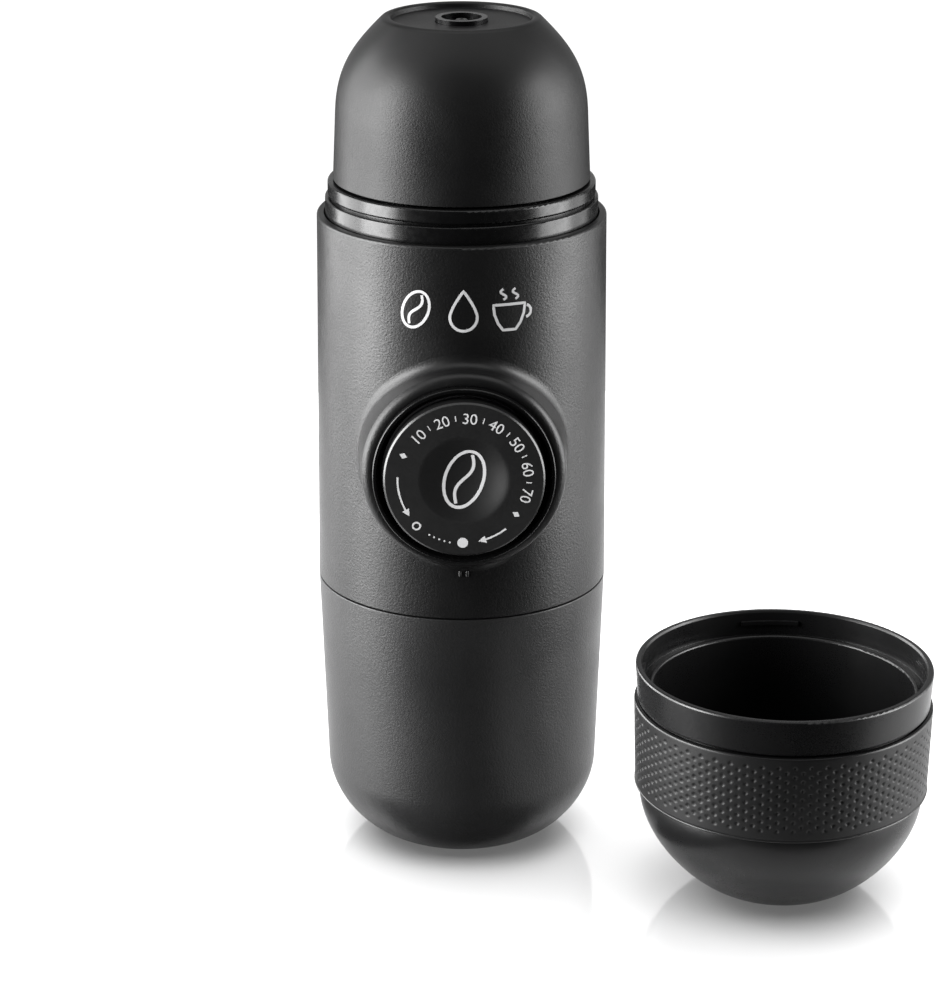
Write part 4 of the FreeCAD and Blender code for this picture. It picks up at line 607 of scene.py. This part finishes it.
def spring(name, node_name, wire_mm, turns, lies_forward=False):
    """A round-wire spring that fills the CAD spring's box.

    A lying one is wound upright, then tipped so that its top looks towards -Y.
    """
    low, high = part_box(node_name)
    centre = (low + high) / 2
    foot, top = (-high.y, -low.y) if lies_forward else (low.z, high.z)
    wire = wire_mm * MM
    piece = grow(thread, name, {
        "Radius": high.x - centre.x - wire, "Low": foot + wire, "Rise": top - foot - 2 * wire,
        "Turns": turns, "Starts": 1, "Ridge": wire, "Flatness": 1.0,
        "Finish": finishes["spring_steel"]})
    if lies_forward:
        piece.data.transform(Matrix.Translation((centre.x, 0, centre.z))
                             @ Matrix.Rotation(math.pi / 2, 4, "X"))
    else:
        piece.data.transform(Matrix.Translation((centre.x, centre.y, 0)))
    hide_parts(node_name)
    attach(piece, "main_body")
    return piece, low, high


for valve in ("inlet", "outlet"):
    coil, low, high = spring(valve + "_valve_coil", valve + "_spring", wire_mm=0.25, turns=3.0)
    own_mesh(coil)
spring("knob_return_coil", "return_spring", wire_mm=0.5, turns=5.0, lies_forward=True)

# %% [markdown]
# ## Printing on a surface
# Marks on the real machine are thin ink on a curved or dished surface. A texture would need an
# image, and a shader that draws shapes is hard to read. Here each mark is a flat drawing in
# millimetres, to the right and up. `press` drops its corners on the surface with rays, then gives
# it the thickness of a coat of ink and closes its edge.

# %% Draw flat shapes
ribbon_step = 0.6      # a longer step would cut through a curved surface


def ribbon(points, width, closed=False):
    """A line of even width through points, in short steps."""
    given = [Vector(p) for p in points]
    line = []
    for i, p in enumerate(given if closed else given[:-1]):
        onward = given[(i + 1) % len(given)]
        pieces = max(1, math.ceil((onward - p).length / ribbon_step))
        line += [p.lerp(onward, k / pieces) for k in range(pieces)]
    if not closed:
        line.append(given[-1])
    count = len(line)
    corners = []
    for i, p in enumerate(line):
        before = line[i - 1] if closed or i > 0 else p
        after = line[(i + 1) % count] if closed or i < count - 1 else p
        along = (after - before).normalized()
        side = Vector((-along.y, along.x)) * width / 2
        corners += [p + side, p - side]
    faces = []
    for i in range(count if closed else count - 1):
        j = (i + 1) % count
        faces.append((2 * i, 2 * i + 1, 2 * j + 1, 2 * j))
    return corners, faces


def arc_points(x, y, radius, from_deg, to_deg, steps):
    """Points along an arc, in degrees from the right, anticlockwise."""
    points = []
    for k in range(steps + 1):
        a = math.radians(from_deg + (to_deg - from_deg) * k / steps)
        points.append((x + radius * math.cos(a), y + radius * math.sin(a)))
    return points


def round_spot(x, y, radius, sides=24):
    """A filled disc, as a fan of triangles."""
    rim = [Vector(p) for p in arc_points(x, y, radius, 0, 360, sides)[:-1]]
    return [Vector((x, y))] + rim, [(0, k + 1, (k + 1) % sides + 1) for k in range(sides)]


def hoop(radius, width):
    """A circle drawn with a line."""
    return ribbon(arc_points(0, 0, radius, 0, 360, 36)[:-1], width, closed=True)


def diamond(size):
    """A filled rhombus, a little taller than wide."""
    corners = [(0, -size), (size * 0.7, 0), (0, size), (-size * 0.7, 0)]
    return [Vector(p) for p in corners], [(0, 1, 2, 3)]


def placed(shape, x, y, turn_deg=0.0):
    """Turn a shape about its own origin and move it."""
    c, s = math.cos(math.radians(turn_deg)), math.sin(math.radians(turn_deg))
    corners, faces = shape
    return [Vector((p.x * c - p.y * s + x, p.x * s + p.y * c + y)) for p in corners], faces


def gathered(shapes):
    """Several shapes as one drawing."""
    corners, faces = [], []
    for more, more_faces in shapes:
        faces += [tuple(i + len(corners) for i in f) for f in more_faces]
        corners += list(more)
    return corners, faces


def numeral(text, height):
    """Digits from Blender's own font, centred, height in millimetres."""
    letters = bpy.data.curves.new("digits", "FONT")
    letters.body = text
    letters.size = height * 1.38      # the font's digits are shorter than its size
    letters.align_x = "CENTER"
    letters.resolution_u = 6
    holder = bpy.data.objects.new("digits", letters)
    scene.collection.objects.link(holder)
    graph = bpy.context.evaluated_depsgraph_get()
    mesh = bpy.data.meshes.new_from_object(holder.evaluated_get(graph))
    shape = ([Vector((v.co.x, v.co.y - height / 2)) for v in mesh.vertices],
             [tuple(p.vertices) for p in mesh.polygons])
    bpy.data.objects.remove(holder)
    bpy.data.meshes.remove(mesh)
    return shape


print("a straight line 4 mm long has", len(ribbon([(0, 0), (4, 0)], 0.5)[1]), "faces")

# %% Press a drawing on a surface
half_ink = 0.025 * MM      # the ink stands this much out of the surface, and as much into it


def surface_of(node_name):
    """A node's faces, ready for rays."""
    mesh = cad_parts[node_name].data
    return BVHTree.FromPolygons([v.co for v in mesh.vertices],
                                [p.vertices for p in mesh.polygons])


def press(name, drawing, ray, surface, body):
    """Lay a drawing on a surface. ray(u, v) gives a start and a direction towards it."""
    corners, faces = drawing
    top, low = [], []
    for p in corners:
        start, direction = ray(p.x, p.y)
        spot = surface.ray_cast(start, direction)[0]
        top.append(spot - direction * half_ink)
        low.append(spot + direction * half_ink)
    count = len(corners)

    # every face is turned to look outwards, then the edges that only one face has get a wall
    outwards = []
    for f in faces:
        area = sum(corners[f[i - 1]].x * corners[f[i]].y - corners[f[i]].x * corners[f[i - 1]].y
                   for i in range(len(f)))
        outwards.append(tuple(f) if area > 0 else tuple(reversed(f)))
    inwards = [tuple(i + count for i in reversed(f)) for f in outwards]
    edges = dict.fromkeys((f[i - 1], f[i]) for f in outwards for i in range(len(f)))
    walls = [(a + count, b + count, b, a) for a, b in edges if (b, a) not in edges]
    mesh = bpy.data.meshes.new(name)
    mesh.from_pydata(top + low, [], outwards + inwards + walls)
    mesh.materials.append(finishes["marking_ink"])
    piece = bpy.data.objects.new(name, mesh)
    scene.collection.objects.link(piece)
    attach(piece, body)
    print(name, "faces", len(mesh.polygons))


# %% [markdown]
# ## The knob's dial
# The knob turns an eighth of a turn between free and locked. Its ring carries a filled spot, a
# row of small dots and an open ring for the two places, and a curved arrow towards each. Round
# the top runs a plain scale with numbers, and a coffee bean is drawn in the dished middle. The
# signs are drawn from lines and arcs, and the digits come from Blender's own font.

# %% Draw the signs
arrow_head_deg, arrow_half_width = 6.5, 0.78


def turn_arrow(from_clock, to_clock, radius, line):
    """An arc on the dial, in degrees clockwise from the top, with a head at its far end."""
    def on_arc(clock, r):
        return r * math.sin(math.radians(clock)), r * math.cos(math.radians(clock))

    shaft = [on_arc(from_clock + (to_clock - from_clock) * k / 12, radius) for k in range(13)]
    tip = to_clock + math.copysign(arrow_head_deg, to_clock - from_clock)
    head = [Vector(on_arc(tip, radius)), Vector(on_arc(to_clock, radius + arrow_half_width)),
            Vector(on_arc(to_clock, radius - arrow_half_width))]
    return gathered([ribbon(shaft, line), (head, [(0, 1, 2)])])


def bean(width, height, line):
    """A coffee bean: an oval with a curved crease."""
    oval = [(width / 2 * math.cos(math.tau * k / 48), height / 2 * math.sin(math.tau * k / 48))
            for k in range(48)]
    crease = []
    for k in range(25):
        t = -1 + 2 * k / 24
        crease.append((width * 0.13 * math.sin(math.pi * t), t * (height / 2 - line * 1.1)))
    return gathered([ribbon(oval, line, closed=True), ribbon(crease, line)])


def drop(width, height, line):
    """A water drop: most of a circle, with flanks that run up to a tip."""
    r = width / 2
    outline = arc_points(0, -height / 2 + r, r, 160, 380, 26)
    tip = (0, height / 2)

    def flank(foot, t):
        return foot[0] + (tip[0] - foot[0]) * t ** 1.25, foot[1] + (tip[1] - foot[1]) * t

    up_right = [flank(outline[-1], t) for t in (0.25, 0.5, 0.75)]
    down_left = [flank(outline[0], t) for t in (0.75, 0.5, 0.25)]
    return ribbon(outline + up_right + [tip] + down_left, line, closed=True)


def small_cup(width, height, line):
    """A cup with a handle and two wisps of steam."""
    w = width / 2
    top, low = height * 0.12, -height / 2
    bowl = [(-w, top), (-w * 0.92, -height * 0.12), (-w * 0.7, -height * 0.34), (-w * 0.4, low),
            (w * 0.4, low), (w * 0.7, -height * 0.34), (w * 0.92, -height * 0.12), (w, top)]
    handle = arc_points(w * 1.02, -height * 0.08, height * 0.15, 75, -80, 12)
    shapes = [ribbon(bowl, line, closed=True), ribbon(handle, line)]
    for side in (-0.38, 0.38):
        wisp = []
        for t in [k / 10 for k in range(11)]:
            sway = 0.09 * width * math.sin(math.pi * 2 * t)
            wisp.append((side * w + sway, height * (0.24 + 0.26 * t)))
        shapes.append(ribbon(wisp, line * 0.85))
    return gathered(shapes)


# %% Lay out the dial
def on_dial(shape, clock_deg, radius):
    """Put a shape on the dial at an angle, clockwise from the top, its top outwards."""
    a = math.radians(clock_deg)
    return placed(shape, radius * math.sin(a), radius * math.cos(a), -clock_deg)


spot_r, arrow_r, dot_r, number_r, tick_r = 12.9, 12.9, 13.1, 12.55, 12.6
arrow_line = 0.36
first_dot, dot_gap = 211.2, 4.7           # degrees clockwise from the top
scale_from, scale_to = -45.0, 105.0
numbers = 7
scale_gap = (scale_to - scale_from) / (numbers - 1)

# the filled spot is at the bottom; on_dial takes a shape, degrees from the top, and a radius
dial = [round_spot(-0.3, -spot_r, 1.04), on_dial(hoop(0.72, 0.34), 224.7, 13.2)]
dial += [on_dial(round_spot(0, 0, 0.19, 12), first_dot - dot_gap * k, dot_r) for k in range(5)]
dial += [turn_arrow(273.0, 242.0, arrow_r, arrow_line),
         turn_arrow(141.0, 161.0, arrow_r, arrow_line)]
dial += [on_dial(diamond(0.82), 293.3, 12.8), on_dial(diamond(0.82), 125.0, 12.3)]
dial += [on_dial(numeral(str(10 * (k + 1)), 2.2), scale_from + scale_gap * k, number_r)
         for k in range(numbers)]
dial += [on_dial(ribbon([(0, -0.55), (0, 0.55)], 0.2), scale_from + scale_gap * (k + 0.5), tick_r)
         for k in range(numbers - 1)]
print("shapes on the dial", len(dial))

# %% Print the dial
in_front = -0.08      # metres: rays start well before the knob


def knob_ray(u, v):
    """From in front of the knob, straight back."""
    return Vector((u * MM, in_front, knob_z + v * MM)), Vector((0, 1, 0))


dial_face = surface_of("knob_cap")
press("knob_scale", gathered(dial), knob_ray, dial_face, "knob")
press("knob_bean", placed(bean(7.4, 11.8, 0.62), 0, 0, -18), knob_ray, dial_face, "knob")

# %% [markdown]
# ## Signs on the casing
# Above the knob, the casing has three small line drawings in a row: a bean, a drop and a cup, for
# coffee, water and the drink. The casing is nearly a cylinder, so a step to the right is a step
# round it: the rays start outside it and run to its axis.

# %% Print the row of signs
signs_mm = 121.5       # height of the row
outside = 0.06         # metres: rays start this far from the axis
sign_line = 0.55


def casing_ray(u, v):
    """From outside the casing, straight to its axis."""
    a = u / casing_r_mm
    out = Vector((math.sin(a), -math.cos(a), 0))
    return out * outside + Vector((0, 0, (signs_mm + v) * MM)), -out


signs = gathered([
    placed(bean(5.2, 7.6, sign_line), -9.6, 0, -24),
    placed(drop(5.4, 8.0, sign_line), 0, 0),
    placed(small_cup(6.6, 8.2, sign_line), 9.2, 0)])
press("casing_signs", signs, casing_ray, surface_of("main_shell"), "main_body")

# %% [markdown]
# ## The table
# The table is white but small: it ends just in front of what stands on it. Its strip before the
# machine, the apron, is left out of reflections, so that the dark middle of the plastic doesn't
# mirror it. A little roughness and a strong specular give the soft mirror image at the foot.
# Floor and apron are part of the stage and not of the object.

# %% Lay the table
floor_z = -0.0001
table_left, table_right, table_back = -0.21, 0.25, 0.30
apron_left, apron_right, apron_front, apron_inner = -0.040, 0.030, -0.062, -0.020
cup_front = -0.090


def table_top(name, outline):
    """One flat piece of the table, inside a closed outline."""
    mesh = bpy.data.meshes.new(name)
    mesh.from_pydata([(x, y, floor_z) for x, y in outline], [], [tuple(range(len(outline)))])
    top = bpy.data.objects.new(name, mesh)
    scene.collection.objects.link(top)
    return top


floor = table_top("floor", [
    (table_left, apron_front), (apron_left, apron_front), (apron_left, apron_inner),
    (apron_right, apron_inner), (apron_right, cup_front), (table_right, cup_front),
    (table_right, table_back), (table_left, table_back)])
apron = table_top("apron", [(apron_left, apron_front), (apron_right, apron_front),
                            (apron_right, apron_inner), (apron_left, apron_inner)])
apron.visible_glossy = False
table = bpy.data.materials.new("white_table")
table.use_nodes = True
table_shader = table.node_tree.nodes["Principled BSDF"]
table_shader.inputs["Base Color"].default_value = (0.55, 0.55, 0.552, 1)
table_shader.inputs["Roughness"].default_value = 0.10
table_shader.inputs["Specular IOR Level"].default_value = 1.0
table_shader.inputs["Emission Color"].default_value = (1, 1, 1, 1)
table_shader.inputs["Emission Strength"].default_value = 0.12
for top in (floor, apron):
    top.data.materials.append(table)
print("table %.2f m wide" % (table_right - table_left))

# %% [markdown]
# ## Light
# Dark plastic shows little but what it reflects, so the light is built for its reflections. Tall
# soft boxes stand at both sides and nothing bright stands in front, which gives two broad soft
# bands with a dark middle between them. Machine and cup are each lit as if they stood alone, with
# linked lights: a light with a receiver collection only lights what is in it, and its blocker
# collection says what may throw a shadow. A small light low at the left brightens one side of
# the dish in the knob: it only lights the pieces whose names start with knob_. The world is
# white to the camera and nearly dark to everything else.

# %% Set the lights
def softbox(name, place, aim, width, height, power, lights=None, shaded_by=None):
    """A rectangular area light that faces a point. It can be kept to a group of things."""
    lamp = bpy.data.lights.new(name, "AREA")
    lamp.shape = "RECTANGLE"
    lamp.size, lamp.size_y, lamp.energy = width, height, power
    box = bpy.data.objects.new(name, lamp)
    box.location = place
    box.rotation_euler = (Vector(aim) - Vector(place)).to_track_quat("-Z", "Y").to_euler()
    box.visible_camera = False
    scene.collection.objects.link(box)
    if lights:
        box.light_linking.receiver_collection = lights
    if shaded_by:
        box.light_linking.blocker_collection = shaded_by


def group_of(name, things):
    """A collection that a light can be limited to."""
    group = bpy.data.collections.new(name)
    for thing in things:
        group.objects.link(thing)
    return group


cup_names = {"cup_shell", "cup_grip", "dimpled_grip", "grip_foot_bead"}
solid_things = [o for o in scene.objects if o.type == "MESH" and o not in (floor, apron)]
machine_only = group_of("machine_only", [o for o in solid_things if o.name not in cup_names])
cup_only = group_of("cup_only", [o for o in solid_things if o.name in cup_names])
knob_only = group_of("knob_only", [o for o in solid_things if o.name.startswith("knob_")])
table_only = group_of("table_only", [floor, apron])

middle = (0.02, 0.0, 0.24)
table_middle = (0.0, 0.10, 0.0)
cup_share = 1.5      # the cup's lights are this much stronger
sides = [            # name, place, width, height, watts
    ("left_key_", (-0.79, -0.20, 0.24), 0.46, 0.82, 31.0),
    ("left_fill_", (-0.77, 0.30, 0.24), 0.50, 0.82, 12.0),
    ("right_key_", (0.86, -0.09, 0.24), 0.52, 0.82, 18.0),
    ("right_fill_", (0.80, 0.36, 0.24), 0.40, 0.82, 3.0)]
for lit, share in ((machine_only, 1.0), (cup_only, cup_share)):
    for name, place, width, height, watts in sides:
        softbox(name + lit.name, place, middle, width, height, watts * share, lit, lit)
softbox("left_back_cup_only", (-0.57, 0.57, 0.20), middle, 0.44, 0.60, 8.0, cup_only, cup_only)
softbox("dial_light", (-0.293, -0.548, -0.035), (0.0, knob_low.y, knob_z), 0.26, 0.26, 1.0,
        knob_only)
softbox("ceiling", (0.0, 0.10, 1.15), table_middle, 1.4, 1.2, 9.0)
softbox("table_light", (0.0, 0.10, 1.00), table_middle, 2.2, 2.0, 62.0, table_only)
softbox("table_back", (0.0, 1.50, 0.75), (0.0, 0.0, 0.0), 2.4, 1.2, 9.0, table_only)
softbox("back_wall", (0.0, 1.55, 0.55), (0.0, 0.0, 0.35), 2.4, 1.2, 4.5)

# %% Hang the backdrop
unseen_level, seen_level = 0.03, 1.1      # what lights the object, and what the camera sees
world = bpy.data.worlds.new("tent")
scene.world = world
world.use_nodes = True
tent = world.node_tree
backdrop = tent.nodes["Background"]
backdrop.inputs["Color"].default_value = (1, 1, 1, 1)
to_camera = add(tent, "ShaderNodeLightPath").outputs["Is Camera Ray"]
level = add(tent, "ShaderNodeMapRange", Value=to_camera, To_Min=unseen_level, To_Max=seen_level)
tent.links.new(level.outputs[0], backdrop.inputs["Strength"])
print("backdrop", seen_level, "to the camera,", unseen_level, "to everything else")

# %% [markdown]
# ## Camera
# A long lens stands a good way back and a little above, and looks down at machine and cup, so
# that the rim of the cup opens into an ellipse. The plain Standard view keeps the white white.

# %% Place the camera
camera_data = bpy.data.cameras.new("camera")
camera_data.sensor_width = 36.0
camera_data.lens = 113.55
camera_data.clip_start = 0.05
camera = bpy.data.objects.new("camera", camera_data)
scene.collection.objects.link(camera)
turn = math.radians(0.8)
pitch = 0.344
back, aside, up = 0.61395, 0.00117, 0.292375
camera.location = (-back * math.sin(turn) + aside, -back * math.cos(turn), up)
camera.rotation_euler = (math.pi / 2 - pitch, 0.0, -turn)
scene.camera = camera
scene.view_settings.view_transform = "Standard"
print("camera at", [round(c, 4) for c in camera.location])
